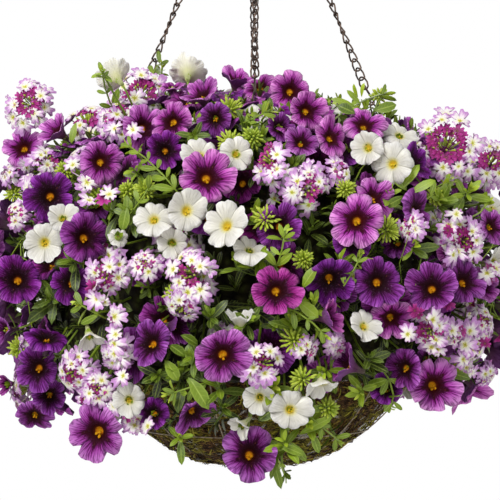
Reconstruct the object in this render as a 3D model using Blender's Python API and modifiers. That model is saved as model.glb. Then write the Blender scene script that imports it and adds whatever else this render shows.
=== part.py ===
"""A planted hanging basket: a moss-lined wire bowl on four chain strands, filled with calibrachoa and verbena.

Metres, +Z up. The origin is the bearing point inside the top hook, so everything hangs below it.
The front of the basket faces -Y.
"""

import bpy
import bmesh
from math import asin, cos, degrees, hypot, pi, radians, sin, sqrt
from mathutils import Matrix, Vector

# ---- driving dimensions ------------------------------------------------------------------------
GAP = 0.0003                 # running gap between pieces that touch
BOWL_RADIUS = 0.150          # centreline of the ribs: a 12 inch basket
BASE_RADIUS = 0.045          # the flat round foot of the bowl
RIB_COUNT = 12
RIB_WIRE = 0.0011            # wire radii
BAND_WIRE = 0.0011
BASE_WIRE = 0.0016
RIM_WIRE = 0.0024
BAND_ANGLES = (28.0, 52.0)   # degrees below the rim where the two bands run
RING_SEGMENTS = 48           # a multiple of the ribs and of the strands, so each meets a corner of the ring
SHELL_SEGMENTS = 24

FILM_THICKNESS = 0.0004
MOSS_THICKNESS = 0.012
MOSS_LIP = 0.004             # moss standing above the rim plane
FOOT_ANGLE = 90 - degrees(asin(BASE_RADIUS / BOWL_RADIUS))
SIDE_ANGLES = (0.0, 4.5, *(4.5 + (FOOT_ANGLE - 4.5) * step / 7 for step in range(1, 8)))   # degrees below the rim

CHAIN_PITCH = 0.0081         # one chain link
CHAIN_THICKNESS = 0.0018
LINK_HALF_WIDTH = 0.0038
WAIST_HALF_WIDTH = 0.0018
LINK_BAR = 0.0030            # where two links lock into each other
SLOT_HALF_WIDTH = 0.0016
UPPER_LINKS = 30
LOWER_LINKS = 18
S_HOOK_WIRE = 0.0009
S_HOOK_BEND = 0.0024
S_HOOK_SPAN = 0.012          # between the two bars that an S hook joins

TOP_RING_RADIUS = 0.012
TOP_RING_WIRE = 0.0012
RING_LEAN = 32.0             # degrees from straight down, where the front and back strands hang on the ring
HOOK_WIRE = 0.0020
HOOK_BEND = 0.014
HOOK_EYE = 0.0055
HOOK_SHANK = 0.024           # from the centre of the upper bend to the centre of the eye

# ---- derived heights ---------------------------------------------------------------------------
RIM_RADIUS = BOWL_RADIUS + RIB_WIRE + GAP + RIM_WIRE
HOOK_CENTRE = HOOK_WIRE - HOOK_BEND
EYE_CENTRE = HOOK_CENTRE - HOOK_SHANK
RING_CENTRE = EYE_CENTRE - HOOK_EYE + HOOK_WIRE + GAP + TOP_RING_WIRE - TOP_RING_RADIUS
STRAND_TOP = RING_CENTRE - TOP_RING_RADIUS
END_TO_RING = CHAIN_THICKNESS / 2 + GAP + TOP_RING_WIRE    # a chain's end bar stands inside the ring
CHAIN_LENGTH = (UPPER_LINKS + LOWER_LINKS) * CHAIN_PITCH
RIM_HOOK_BEND = RIM_WIRE + GAP + S_HOOK_WIRE
STRAND_LENGTH = CHAIN_LENGTH + 2 * S_HOOK_SPAN - END_TO_RING
RIM_Z = STRAND_TOP - sqrt(STRAND_LENGTH**2 - RIM_RADIUS**2)
FILLING_RADIUS = BOWL_RADIUS - RIB_WIRE - GAP - FILM_THICKNESS - GAP - MOSS_THICKNESS - GAP
SOIL_LEVEL = -FILLING_RADIUS * sin(radians(SIDE_ANGLES[1]))     # the soil's surface below the rim plane

# ---- the planting ------------------------------------------------------------------------------
# The outer side of a plant's cross-section, as (radius, height above the rim), from skirt to crown.
OUTER_PROFILE = ((0.158, -0.122), (0.184, -0.106), (0.203, -0.066), (0.211, -0.010), (0.207, 0.046),
                 (0.188, 0.092), (0.156, 0.126), (0.118, 0.144), (0.082, 0.140))
SKIRT_RADIUS = 0.160         # the skirt hangs clear of the wire bowl
SKIRT_ANGLES = (4.0, 16.0, 29.0, 41.0)
CROWN_RADIUS = 0.080         # inner side of the plants that stand around the centre one
NECK_RADIUS = 0.129          # where the stems pass inside the moss
OVER_RIM = 0.0070            # underside of the plants where they cross the rim
LUMP = 0.006                 # how far the leafy surface swells in and out
PLANT_STATIONS = 7
CHAIN_SIDE_GAP = 4.0         # degrees kept free beside a chain strand
PLAIN_SIDE_GAP = 0.6
CENTRE_PROFILE = ((0.030, 0.158), (0.055, 0.144), (0.071, 0.115), (0.074, 0.060), (0.066, SOIL_LEVEL + GAP))
BLOOM_RADIUS = 0.0175        # calibrachoa flower
BLOOM_NOTCH = 0.86           # radius between two lobes, as a share of the full radius
BLOOM_FOOT = -0.012          # heights along the flower, from the leafy surface it stands on
BLOOM_THROAT = 0.004
BLOOM_FACE = 0.011
BLOOM_ROWS = (2, 3, 2, 3)    # flowers across a plant, from its skirt to its crown
BLOOM_SPACING = 11.5         # degrees between two of them
CLUSTER_RADIUS = 0.024       # verbena head
CLUSTER_FLATNESS = 0.55
CENTRE_BLOOMS = 7

# plant name: (azimuth of its middle in degrees, kind of bloom, share of the full skirt length)
PLANTS = {
    "purple_calibrachoa_right": (22.5, "purple", 0.80),
    "verbena_back_right": (67.5, "verbena", 0.98),
    "purple_calibrachoa_back": (112.5, "purple", 0.88),
    "white_calibrachoa_back_left": (157.5, "white", 0.86),
    "verbena_left": (202.5, "verbena", 0.90),
    "purple_calibrachoa_front_left": (247.5, "purple", 1.18),
    "white_calibrachoa_front_right": (292.5, "white", 1.00),
    "verbena_right": (337.5, "verbena", 0.78),
}

PAINTS = {
    "bronzed_wire": ((0.075, 0.062, 0.050), 0.45, 0.85),
    "clear_film": ((0.75, 0.76, 0.74), 0.12, 0.0),
    "sphagnum_moss": ((0.115, 0.105, 0.030), 0.95, 0.0),
    "potting_soil": ((0.030, 0.022, 0.016), 0.98, 0.0),
    "purple": ((0.165, 0.018, 0.290), 0.60, 0.0),
    "white": ((0.800, 0.790, 0.740), 0.60, 0.0),
    "verbena": ((0.560, 0.230, 0.560), 0.60, 0.0),
}


# ---- scene helpers -----------------------------------------------------------------------------
def clear_scene():
    for obj in list(bpy.data.objects):
        bpy.data.objects.remove(obj)


def new_collection(name, hidden=False):
    collection = bpy.data.collections.new(name)
    bpy.context.scene.collection.children.link(collection)
    collection.hide_render = hidden
    return collection


def make_material(name):
    colour, roughness, metallic = PAINTS[name]
    material = bpy.data.materials.new(name)
    material.use_nodes = True
    shader = material.node_tree.nodes["Principled BSDF"]
    shader.inputs["Base Color"].default_value = (*colour, 1.0)
    shader.inputs["Roughness"].default_value = roughness
    shader.inputs["Metallic"].default_value = metallic
    material.diffuse_color = (*colour, 1.0)
    return material


def place(obj, collection, paint):
    """Moves an object into its collection and gives it its material."""
    for old in list(obj.users_collection):
        old.objects.unlink(obj)
    collection.objects.link(obj)
    if paint:
        obj.data.materials.clear()
        obj.data.materials.append(MATERIALS[paint])
    return obj


def mesh_object(name, shape, collection, paint):
    mesh = bpy.data.meshes.new(name)
    bmesh.ops.recalc_face_normals(shape, faces=shape.faces)
    shape.to_mesh(mesh)
    shape.free()
    mesh.shade_smooth()
    return place(bpy.data.objects.new(name, mesh), collection, paint)


def torus(name, radius, thickness, height, collection, sides=6, segments=RING_SEGMENTS, turn=(0, 0, 0)):
    bpy.ops.mesh.primitive_torus_add(
        major_radius=radius, minor_radius=thickness, major_segments=segments, minor_segments=sides,
        location=(0, 0, height), rotation=turn)
    ring = bpy.context.object
    ring.name = name
    ring.data.name = name
    ring.data.shade_smooth()
    return place(ring, collection, "bronzed_wire")


def wire(name, points, thickness, collection, resolution=1, paint="bronzed_wire"):
    """A round wire through the points, with closed ends."""
    curve = bpy.data.curves.new(name, "CURVE")
    curve.dimensions = "3D"
    curve.bevel_depth = thickness
    curve.bevel_resolution = resolution
    curve.use_fill_caps = True
    spline = curve.splines.new("POLY")
    spline.points.add(len(points) - 1)
    for target, point in zip(spline.points, points):
        target.co = (*point, 1.0)
    return place(bpy.data.objects.new(name, curve), collection, paint)


def turned(name, profile, collection, paint, segments=SHELL_SEGMENTS):
    """A profile of (radius, height) turned round Z. Both its ends are on the axis, so the shape is closed."""
    mesh = bpy.data.meshes.new(name)
    mesh.from_pydata([(r, 0.0, z) for r, z in profile], [(i, i + 1) for i in range(len(profile) - 1)], [])
    obj = place(bpy.data.objects.new(name, mesh), collection, paint)
    screw = obj.modifiers.new("turn", "SCREW")
    screw.steps = screw.render_steps = segments
    screw.use_merge_vertices = True
    screw.merge_threshold = 0.00005
    screw.use_smooth_shade = True
    return obj


# ---- the wire bowl -----------------------------------------------------------------------------
def on_sphere(radius, angle):
    """(radius, height) of a point that many degrees below the rim, on a sphere about the rim's centre."""
    return radius * cos(radians(angle)), RIM_Z - radius * sin(radians(angle))


def build_frame(collection):
    torus("rim_ring", RIM_RADIUS, RIM_WIRE, RIM_Z, collection)
    outside = BOWL_RADIUS + RIB_WIRE + GAP
    for number, angle in enumerate(BAND_ANGLES, 1):
        radius, height = on_sphere(outside + BAND_WIRE, angle)
        torus(f"band_{number}", radius, BAND_WIRE, height, collection)
    radius, height = on_sphere(outside + BASE_WIRE, FOOT_ANGLE)
    torus("base_ring", radius, BASE_WIRE, height, collection)
    for number in range(RIB_COUNT):
        azimuth = 2 * pi * (number + 0.5) / RIB_COUNT
        path = []
        for angle in (*SIDE_ANGLES, FOOT_ANGLE + 3.0):
            radius, height = on_sphere(BOWL_RADIUS, angle)
            path.append((radius * cos(azimuth), radius * sin(azimuth), height))
        path.insert(0, (path[0][0], path[0][1], RIM_Z + RIM_WIRE))
        wire(f"rib_{number + 1:02d}", path, RIB_WIRE, collection)


def bowl_side(radius, first=0):
    """One wall of the bowl down to its flat floor. Every wall uses the same angles, so gaps stay even."""
    side = [on_sphere(radius, angle) for angle in SIDE_ANGLES[first:]]
    return side + [(0.0, side[-1][1])]


def bowl_shell(outside, wall, first=0, lip=0.0):
    """Closed profile of a shell: up the inner wall from the axis, over the top edge and down the outer wall."""
    inner, outer = bowl_side(outside - wall, first), bowl_side(outside, first)
    edge = [(outer[0][0] - wall, outer[0][1] + lip), (outer[0][0], outer[0][1] + lip)] if lip else []
    return inner[::-1] + edge + outer


def build_filling(collection):
    film_outside = BOWL_RADIUS - RIB_WIRE - GAP
    turned("clear_film", bowl_shell(film_outside, FILM_THICKNESS, first=1), collection, "clear_film")
    moss_outside = film_outside - FILM_THICKNESS - GAP
    turned("moss_liner", bowl_shell(moss_outside, MOSS_THICKNESS, lip=MOSS_LIP), collection, "sphagnum_moss")
    side = bowl_side(moss_outside - MOSS_THICKNESS - GAP, first=1)
    turned("potting_soil", [(0.0, side[0][1]), *side], collection, "potting_soil")


# ---- the chain hanger --------------------------------------------------------------------------
def chain(name, start, along, face, links, pitch, collection):
    """A curb chain lying flat, from its first end bar along its length. face is the direction it faces."""
    curve = bpy.data.curves.new(name, "CURVE")
    curve.dimensions = "2D"
    curve.fill_mode = "BOTH"
    curve.extrude = CHAIN_THICKNESS / 2
    end = CHAIN_THICKNESS / 2
    one_side = [(-end, WAIST_HALF_WIDTH)]
    for number in range(links):
        one_side.append(((number + 0.5) * pitch, LINK_HALF_WIDTH))
        if number < links - 1:
            one_side.append(((number + 1) * pitch, WAIST_HALF_WIDTH))
    one_side.append((links * pitch + end, WAIST_HALF_WIDTH))
    outlines = [one_side + [(x, -y) for x, y in reversed(one_side)]]
    for number in range(links):
        first = number * pitch + (LINK_BAR / 2 if number else end)
        last = (number + 1) * pitch - (LINK_BAR / 2 if number < links - 1 else end)
        side = SLOT_HALF_WIDTH
        outlines.append([(first, -side), (last, -side), (last, side), (first, side)])
    for outline in outlines:
        spline = curve.splines.new("POLY")
        spline.points.add(len(outline) - 1)
        for target, (x, y) in zip(spline.points, outline):
            target.co = (x, y, 0.0, 1.0)
        spline.use_cyclic_u = True
    obj = place(bpy.data.objects.new(name, curve), collection, "bronzed_wire")
    x_axis, z_axis = along.normalized(), face.normalized()
    y_axis = z_axis.cross(x_axis)
    obj.matrix_world = Matrix.Translation(start) @ Matrix((x_axis, y_axis, z_axis)).transposed().to_4x4()
    return obj


def s_hook(name, upper, lower, upper_side, lower_side, lower_bend, collection):
    """Bent wire, over the bar at upper and round under the bar at lower. Each bend opens to its side."""
    up = (upper - lower).normalized()
    path = []
    for step in range(7):
        turn = radians(-20 + 200 * step / 6)
        path.append(upper + S_HOOK_BEND * (upper_side * cos(turn) + up * sin(turn)))
    for step in range(7):
        turn = radians(-190 * step / 6)
        path.append(lower + lower_bend * (lower_side * cos(turn) + up * sin(turn)))
    wire(name, path, S_HOOK_WIRE, collection)


def build_strand(side, azimuth, collection):
    """One strand: upper chain, S hook, lower chain and the hook on the rim."""
    outward = Vector((cos(azimuth), sin(azimuth), 0.0))
    sideways = Vector((-sin(azimuth), cos(azimuth), 0.0))
    flat_to_front = side in ("left", "right")
    rim = outward * RIM_RADIUS + Vector((0, 0, RIM_Z))
    lean = 0.0 if flat_to_front else radians(RING_LEAN)
    on_ring = TOP_RING_RADIUS * (outward * sin(lean) - Vector((0, 0, cos(lean)))) + Vector((0, 0, RING_CENTRE))
    if flat_to_front:
        on_ring += sideways * (CHAIN_THICKNESS / 2 + GAP)   # the two hang side by side on the ring
    down = (rim - on_ring).normalized()
    lower_face = down.cross(sideways)
    upper_face = sideways if flat_to_front else lower_face
    lower_end = rim - down * S_HOOK_SPAN
    lower_top = lower_end - down * (LOWER_LINKS * CHAIN_PITCH)
    upper_end = lower_top - down * S_HOOK_SPAN
    upper_top = on_ring - down * END_TO_RING
    pitch = (upper_end - upper_top).length / UPPER_LINKS
    chain(f"upper_chain_{side}", upper_top, down, upper_face, UPPER_LINKS, pitch, collection)
    s_hook(f"s_hook_{side}", upper_end, lower_top, upper_face, lower_face, S_HOOK_BEND, collection)
    chain(f"lower_chain_{side}", lower_top, down, lower_face, LOWER_LINKS, CHAIN_PITCH, collection)
    s_hook(f"rim_hook_{side}", lower_end, rim, lower_face, lower_face, RIM_HOOK_BEND, collection)


def build_hanger(collection):
    torus("top_ring", TOP_RING_RADIUS, TOP_RING_WIRE, RING_CENTRE, collection, segments=24, turn=(0, pi / 2, 0))
    path = []
    for step in range(13):
        turn = radians(-25 + 205 * step / 12)
        path.append((HOOK_BEND * cos(turn), 0.0, HOOK_CENTRE + HOOK_BEND * sin(turn)))
    for step in range(11):
        turn = radians(115 - 295 * step / 10)
        path.append((HOOK_EYE * cos(turn), 0.0, EYE_CENTRE + HOOK_EYE * sin(turn)))
    wire("top_hook", path, HOOK_WIRE, collection, resolution=2)
    for side, turn in {"right": 0, "back": 90, "left": 180, "front": 270}.items():
        build_strand(side, radians(turn), collection)


# ---- the plants --------------------------------------------------------------------------------
def outer_point(along, skirt_share):
    """(radius, height above the rim) at a place along the outer profile, counted in profile points."""
    index = min(int(along), len(OUTER_PROFILE) - 2)
    (r0, z0), (r1, z1) = OUTER_PROFILE[index], OUTER_PROFILE[index + 1]
    share = along - index
    radius, height = r0 + (r1 - r0) * share, z0 + (z1 - z0) * share
    return radius, height * (skirt_share if height < 0 else 1.0)


def plant_section(azimuth, skirt_share, swell):
    """The closed cross-section of a plant at an azimuth, as (radius, height above the rim)."""
    inner = [(CROWN_RADIUS, SOIL_LEVEL + GAP), (NECK_RADIUS, SOIL_LEVEL + GAP), (NECK_RADIUS, OVER_RIM),
             (SKIRT_RADIUS + 0.001, OVER_RIM)]
    for angle in SKIRT_ANGLES:
        turn = radians(angle * skirt_share)
        inner.append((SKIRT_RADIUS * cos(turn), -SKIRT_RADIUS * sin(turn)))
    outer = []
    for number in range(len(OUTER_PROFILE)):
        radius, height = outer_point(number, skirt_share)
        lump = LUMP * sin(9 * azimuth + 1.7 * number) * cos(5 * azimuth - 2.3 * number)
        if 0 < number < len(OUTER_PROFILE) - 1:
            radius, height = radius + lump, height + 0.6 * lump
        outer.append((CROWN_RADIUS + (radius - CROWN_RADIUS) * swell, height))
    foot_radius = inner[-1][0] + 0.004
    outer[0] = (max(outer[0][0], foot_radius), min(outer[0][1], inner[-1][1] - 0.002))
    return inner + outer


def build_plant(name, middle, kind, skirt_share, collection, blooms):
    """A plant: rooted in the soil, over the rim and down outside the bowl, as a loft of its cross-sections."""
    chain_first = round((middle - 22.5) % 90) == 0
    low = radians(middle - 22.5 + (CHAIN_SIDE_GAP if chain_first else PLAIN_SIDE_GAP))
    high = radians(middle + 22.5 - (PLAIN_SIDE_GAP if chain_first else CHAIN_SIDE_GAP))
    shape = bmesh.new()
    rings = []
    for station in range(PLANT_STATIONS):
        share = station / (PLANT_STATIONS - 1)
        azimuth = low + (high - low) * share
        swell = 1.0 - 0.12 * (2 * share - 1) ** 4
        rings.append([shape.verts.new((r * cos(azimuth), r * sin(azimuth), RIM_Z + z))
                      for r, z in plant_section(azimuth, skirt_share, swell)])
    for ring, following in zip(rings, rings[1:]):
        for index in range(len(ring)):
            after = (index + 1) % len(ring)
            shape.faces.new((ring[index], ring[after], following[after], following[index]))
    shape.faces.new(rings[0])
    shape.faces.new(rings[-1])
    body = mesh_object(name, shape, collection, kind)
    add_blooms(body, degrees((low + high) / 2), kind, skirt_share, blooms)


def add_blooms(body, middle, kind, skirt_share, blooms):
    """Flowers standing out of the plant's outer side, joined to it."""
    group = bpy.data.collections.new(body.name + "_blooms")
    blooms.children.link(group)
    for row, count in enumerate(BLOOM_ROWS):
        for column in range(count):
            along = 0.9 + 1.8 * row + 0.5 * (column % 2)
            azimuth = radians(middle + BLOOM_SPACING * (column - (count - 1) / 2))
            low, high = outer_point(along - 0.4, skirt_share), outer_point(along + 0.4, skirt_share)
            radius, height = outer_point(along, skirt_share)
            slope = hypot(high[0] - low[0], high[1] - low[1])
            out_r, out_z = (high[1] - low[1]) / slope, -(high[0] - low[0]) / slope
            normal = Vector((out_r * cos(azimuth), out_r * sin(azimuth), out_z))
            foot = Vector((radius * cos(azimuth), radius * sin(azimuth), RIM_Z + height))
            stand_bloom(f"{body.name}_{row}_{column}", kind, foot, normal, group)
    join_blooms(body, group)


def stand_bloom(name, kind, foot, normal, group):
    bloom = place(cluster(name) if kind == "verbena" else trumpet(name), group, kind)
    bloom.matrix_world = Matrix.Translation(foot) @ normal.to_track_quat("Z", "Y").to_matrix().to_4x4()
    bloom.display_type = "WIRE"
    bloom.hide_render = True


def join_blooms(body, group):
    join = body.modifiers.new("blooms", "BOOLEAN")
    join.operation = "UNION"
    join.operand_type = "COLLECTION"
    join.collection = group
    join.solver = "EXACT"


def trumpet(name):
    """A calibrachoa flower: a funnel that opens to five broad lobes, with a hollow throat."""
    shape = bmesh.new()
    foot = shape.verts.new((0.0, 0.0, BLOOM_FOOT))
    throat = shape.verts.new((0.0, 0.0, BLOOM_THROAT))
    rim = []
    for number in range(10):
        turn = 2 * pi * number / 10
        radius = BLOOM_RADIUS * (BLOOM_NOTCH if number % 2 else 1.0)
        rim.append(shape.verts.new((radius * cos(turn), radius * sin(turn), BLOOM_FACE)))
    for index, corner in enumerate(rim):
        following = rim[(index + 1) % len(rim)]
        shape.faces.new((foot, following, corner))
        shape.faces.new((throat, corner, following))
    mesh = bpy.data.meshes.new(name)
    shape.to_mesh(mesh)
    shape.free()
    return bpy.data.objects.new(name, mesh)


def cluster(name):
    """A verbena head: a low round cushion of florets."""
    shape = bmesh.new()
    bmesh.ops.create_icosphere(shape, subdivisions=2, radius=CLUSTER_RADIUS)
    bmesh.ops.scale(shape, vec=(1.0, 1.0, CLUSTER_FLATNESS), verts=shape.verts)
    mesh = bpy.data.meshes.new(name)
    shape.to_mesh(mesh)
    shape.free()
    return bpy.data.objects.new(name, mesh)


def build_centre_plant(collection, blooms):
    """The plant in the middle of the basket, inside the four strands."""
    rounded = [(0.0, CENTRE_PROFILE[0][1]), *CENTRE_PROFILE, (0.0, CENTRE_PROFILE[-1][1])]
    profile = [(r, RIM_Z + z) for r, z in rounded]
    body = turned("purple_calibrachoa_centre", profile, collection, "purple", segments=16)
    group = bpy.data.collections.new("centre_blooms")
    blooms.children.link(group)
    (top_radius, top), (edge_radius, edge) = CENTRE_PROFILE[:2]
    ring_radius, ring_height = (top_radius + edge_radius) / 2, RIM_Z + (top + edge) / 2
    for number in range(CENTRE_BLOOMS):
        turn = 2 * pi * (number + 0.5) / CENTRE_BLOOMS
        normal = Vector((0.75 * cos(turn), 0.75 * sin(turn), 1.0)).normalized()
        foot = Vector((ring_radius * cos(turn), ring_radius * sin(turn), ring_height))
        stand_bloom(f"centre_{number}", "purple", foot, normal, group)
    stand_bloom("centre_top", "purple", Vector((0, 0, RIM_Z + top)), Vector((0, 0, 1)), group)
    join_blooms(body, group)


def main():
    basket = new_collection("hanging_basket")
    blooms = new_collection("bloom_shapes", hidden=True)
    build_frame(basket)
    build_filling(basket)
    build_hanger(basket)
    for name, (middle, kind, skirt_share) in PLANTS.items():
        build_plant(name, middle, kind, skirt_share, basket, blooms)
    build_centre_plant(basket, blooms)


clear_scene()
MATERIALS = {name: make_material(name) for name in PAINTS}
main()
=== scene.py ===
# A planted hanging basket: calibrachoa and verbena in a moss-lined wire bowl on chains.
# Lengths are metres. Heights in the planting settings are measured from the rim of the bowl.
from functools import partial
from math import acos, atan2, cos, hypot, pi, radians, sin, sqrt

import bpy
import numpy as np
from mathutils import Matrix, Vector

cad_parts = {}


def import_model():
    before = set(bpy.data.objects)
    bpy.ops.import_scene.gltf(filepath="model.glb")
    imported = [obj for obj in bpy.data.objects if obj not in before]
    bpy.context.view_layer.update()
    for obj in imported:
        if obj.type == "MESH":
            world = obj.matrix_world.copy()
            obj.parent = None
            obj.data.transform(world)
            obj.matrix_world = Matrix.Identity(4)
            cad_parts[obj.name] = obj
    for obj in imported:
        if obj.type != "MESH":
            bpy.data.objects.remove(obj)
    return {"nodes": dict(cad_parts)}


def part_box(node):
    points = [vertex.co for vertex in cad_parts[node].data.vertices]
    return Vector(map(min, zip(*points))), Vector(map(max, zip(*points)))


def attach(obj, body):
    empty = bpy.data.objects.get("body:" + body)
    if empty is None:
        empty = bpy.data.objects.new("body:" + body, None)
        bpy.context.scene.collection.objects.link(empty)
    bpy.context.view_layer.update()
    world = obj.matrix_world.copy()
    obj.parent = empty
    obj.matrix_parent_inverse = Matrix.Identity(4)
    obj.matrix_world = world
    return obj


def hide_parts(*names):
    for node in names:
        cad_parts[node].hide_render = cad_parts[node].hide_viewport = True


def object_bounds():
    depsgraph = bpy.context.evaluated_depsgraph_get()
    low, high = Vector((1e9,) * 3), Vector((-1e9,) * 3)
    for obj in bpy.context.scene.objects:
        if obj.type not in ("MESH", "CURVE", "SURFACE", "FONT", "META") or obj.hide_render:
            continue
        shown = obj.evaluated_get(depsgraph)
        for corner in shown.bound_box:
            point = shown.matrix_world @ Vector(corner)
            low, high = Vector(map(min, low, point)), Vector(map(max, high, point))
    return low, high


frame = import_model()
cadLow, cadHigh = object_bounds()
bpy.ops.object.select_all(action="DESELECT")
print("frame loaded")

rimLow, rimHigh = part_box("rim_ring")
rimZ = (rimLow.z + rimHigh.z) / 2
upward = np.array((0.0, 0.0, 1.0))
goldenTurn = 2.39996  # radians; steps of it spread things evenly
tiny = 1e-6
rng = np.random.default_rng(7)


def linearColour(text):
    values = [int(text[i:i + 2], 16) / 255 for i in (1, 3, 5)]
    return (*[v / 12.92 if v <= 0.04045 else ((v + 0.055) / 1.055) ** 2.4 for v in values], 1.0)


def addNode(tree, kind, *values, stops=(), output=0, **more):
    # values fill the first sockets; names with a capital are sockets too, the others are settings
    kind, *operation = kind.split()
    node = tree.nodes.new("ShaderNode" + kind)
    if operation:
        node.operation = operation[0]
    if stops:
        node.color_ramp.elements.remove(node.color_ramp.elements[1])
    for number, (place, colour) in enumerate(stops):
        if number:
            node.color_ramp.elements.new(place)
        node.color_ramp.elements[number].position = place
        node.color_ramp.elements[number].color = linearColour(colour)
    sockets = dict(enumerate(values))
    for name, value in more.items():
        if name[0].isupper():
            sockets[name.replace("_", " ")] = value
        else:
            setattr(node, name, value)
    for name, value in sockets.items():
        if isinstance(value, bpy.types.NodeSocket):
            tree.links.new(value, node.inputs[name])
        else:
            node.inputs[name].default_value = linearColour(value) if isinstance(value, str) else value
    return node.outputs[output] if node.outputs else node


def startMaterial(name):
    material = bpy.data.materials.new(name)
    material.use_nodes = True
    material.node_tree.nodes.clear()
    return material, partial(addNode, material.node_tree)


def finishMaterial(material, **sockets):
    surface = addNode(material.node_tree, "BsdfPrincipled", **sockets)
    addNode(material.node_tree, "OutputMaterial", surface)
    return material


def finishPiece(piece, material, slot, *nodes):
    piece.data.materials.clear()
    piece.data.materials.append(material)
    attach(piece, "root")
    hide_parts(*nodes)


def applyModifiers(piece, smooth=True):
    bpy.context.view_layer.objects.active = piece
    piece.select_set(True)
    for modifier in list(piece.modifiers):
        bpy.ops.object.modifier_apply(modifier=modifier.name)
    if smooth:
        bpy.ops.object.shade_smooth()
    piece.select_set(False)


def addWall(piece, thickness):
    wall = piece.modifiers.new("wall", "SOLIDIFY")
    wall.thickness = thickness
    wall.offset = -1.0


def addLumps(piece, name, size, strength, depth=2, level=0.5):
    lumps = bpy.data.textures.new(name, "CLOUDS")
    lumps.noise_scale = size
    lumps.noise_depth = depth
    bend = piece.modifiers.new(name, "DISPLACE")
    bend.texture = lumps
    bend.texture_coords = "LOCAL"
    bend.strength = strength
    bend.mid_level = level


studio = dict(
    distance=1.62, aimX=-0.0037, aimHeight=0.026, lens=143.5,
    floorDrop=0.45, floorRadius=1.1, worldStrength=0.42,
    keyPower=25.0, keySize=0.8, keyPlace=(-0.7, -1.4, 1.0),
    fillPower=6.0, fillSize=1.6, fillPlace=(1.3, -1.5, 0.1),
    backPower=16.0, backSize=1.6, backPlace=(0.5, 1.8, 0.7),
)
aim = Vector((studio["aimX"], 0.0, rimZ + studio["aimHeight"]))
cameraPlace = aim + Vector((0.0, -studio["distance"], 0.0))
eye = np.array(cameraPlace)


def makeCamera():
    bpy.ops.object.camera_add(location=cameraPlace, rotation=(pi / 2, 0.0, 0.0))
    camera = bpy.context.object
    camera.data.lens = studio["lens"]
    camera.data.sensor_width = 36.0
    camera.data.clip_start = 0.05
    bpy.context.scene.camera = camera


def makeStudio():
    scene = bpy.context.scene
    scene.view_settings.view_transform = "Standard"
    scene.world = bpy.data.worlds.new("studio")
    scene.world.use_nodes = True
    scene.world.node_tree.nodes.clear()
    add = partial(addNode, scene.world.node_tree)
    path = add("LightPath").node.outputs
    seen = add("Math MAXIMUM", path["Is Camera Ray"], path["Is Glossy Ray"])
    seen = add("Math MAXIMUM", seen, path["Is Transmission Ray"])
    lit = add("Background", "#ffffff", studio["worldStrength"])
    white = add("Background", "#ffffff", 1.0)
    add("OutputWorld", add("MixShader", seen, lit, white))
    for part in ("key", "fill", "back"):
        place = Vector(studio[part + "Place"]) + aim
        bpy.ops.object.light_add(type="AREA", location=place)
        lamp = bpy.context.object
        lamp.data.energy = studio[part + "Power"]
        lamp.data.size = studio[part + "Size"]
        lamp.rotation_euler = (aim - place).to_track_quat("-Z", "Y").to_euler()
    bpy.ops.mesh.primitive_circle_add(vertices=64, radius=studio["floorRadius"], fill_type="NGON",
                                      location=(0, 0, cadLow.z - studio["floorDrop"]))
    floor = bpy.context.object
    floor.name = "floor"
    material, add = startMaterial("paintedFloor")
    floor.data.materials.append(finishMaterial(material, Base_Color="#f2f1ee", Roughness=0.8))


makeCamera()
makeStudio()
print("studio ready")


def readTemplate(piece, rings, segments, shares):
    # ring and segment of every vertex, by its place; a pole has radius 0
    table = np.array(rings)
    places = np.array([vertex.co for vertex in piece.data.vertices])
    radii = np.hypot(places[:, 0], places[:, 1])
    gaps = np.hypot(radii[:, None] - table[None, :, 0], places[:, 2, None] - table[None, :, 1])
    ring = gaps.argmin(axis=1)
    around = np.arctan2(places[:, 1], places[:, 0]) / (2 * pi) * segments
    segment = np.where(radii < tiny, 0, np.round(around).astype(int) % segments)
    loops, starts, growth = [], [], []
    for face in piece.data.polygons:
        corners = list(face.vertices)
        starts.append(len(loops))
        turns = [segment[c] for c in corners if radii[c] > tiny]
        wraps = max(turns) - min(turns) > segments / 2
        spread = [(t if t or not wraps else segments) for t in turns]
        for corner in corners:
            turn = sum(spread) / len(spread)
            if radii[corner] > tiny:
                turn = segments if wraps and segment[corner] == 0 else segment[corner]
            growth.append((turn / segments, shares[ring[corner]]))
        loops.extend(corners)
    return dict(table=table, ring=ring, angle=segment / segments * 2 * pi, count=len(places), places=places,
                loops=np.array(loops), starts=np.array(starts), growth=np.array(growth))


def extrudeUp(height, merge=False):
    bpy.ops.mesh.extrude_region_move(TRANSFORM_OT_translate={"value": (0, 0, height)})
    if merge:
        bpy.ops.mesh.merge(type="CENTER")


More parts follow.
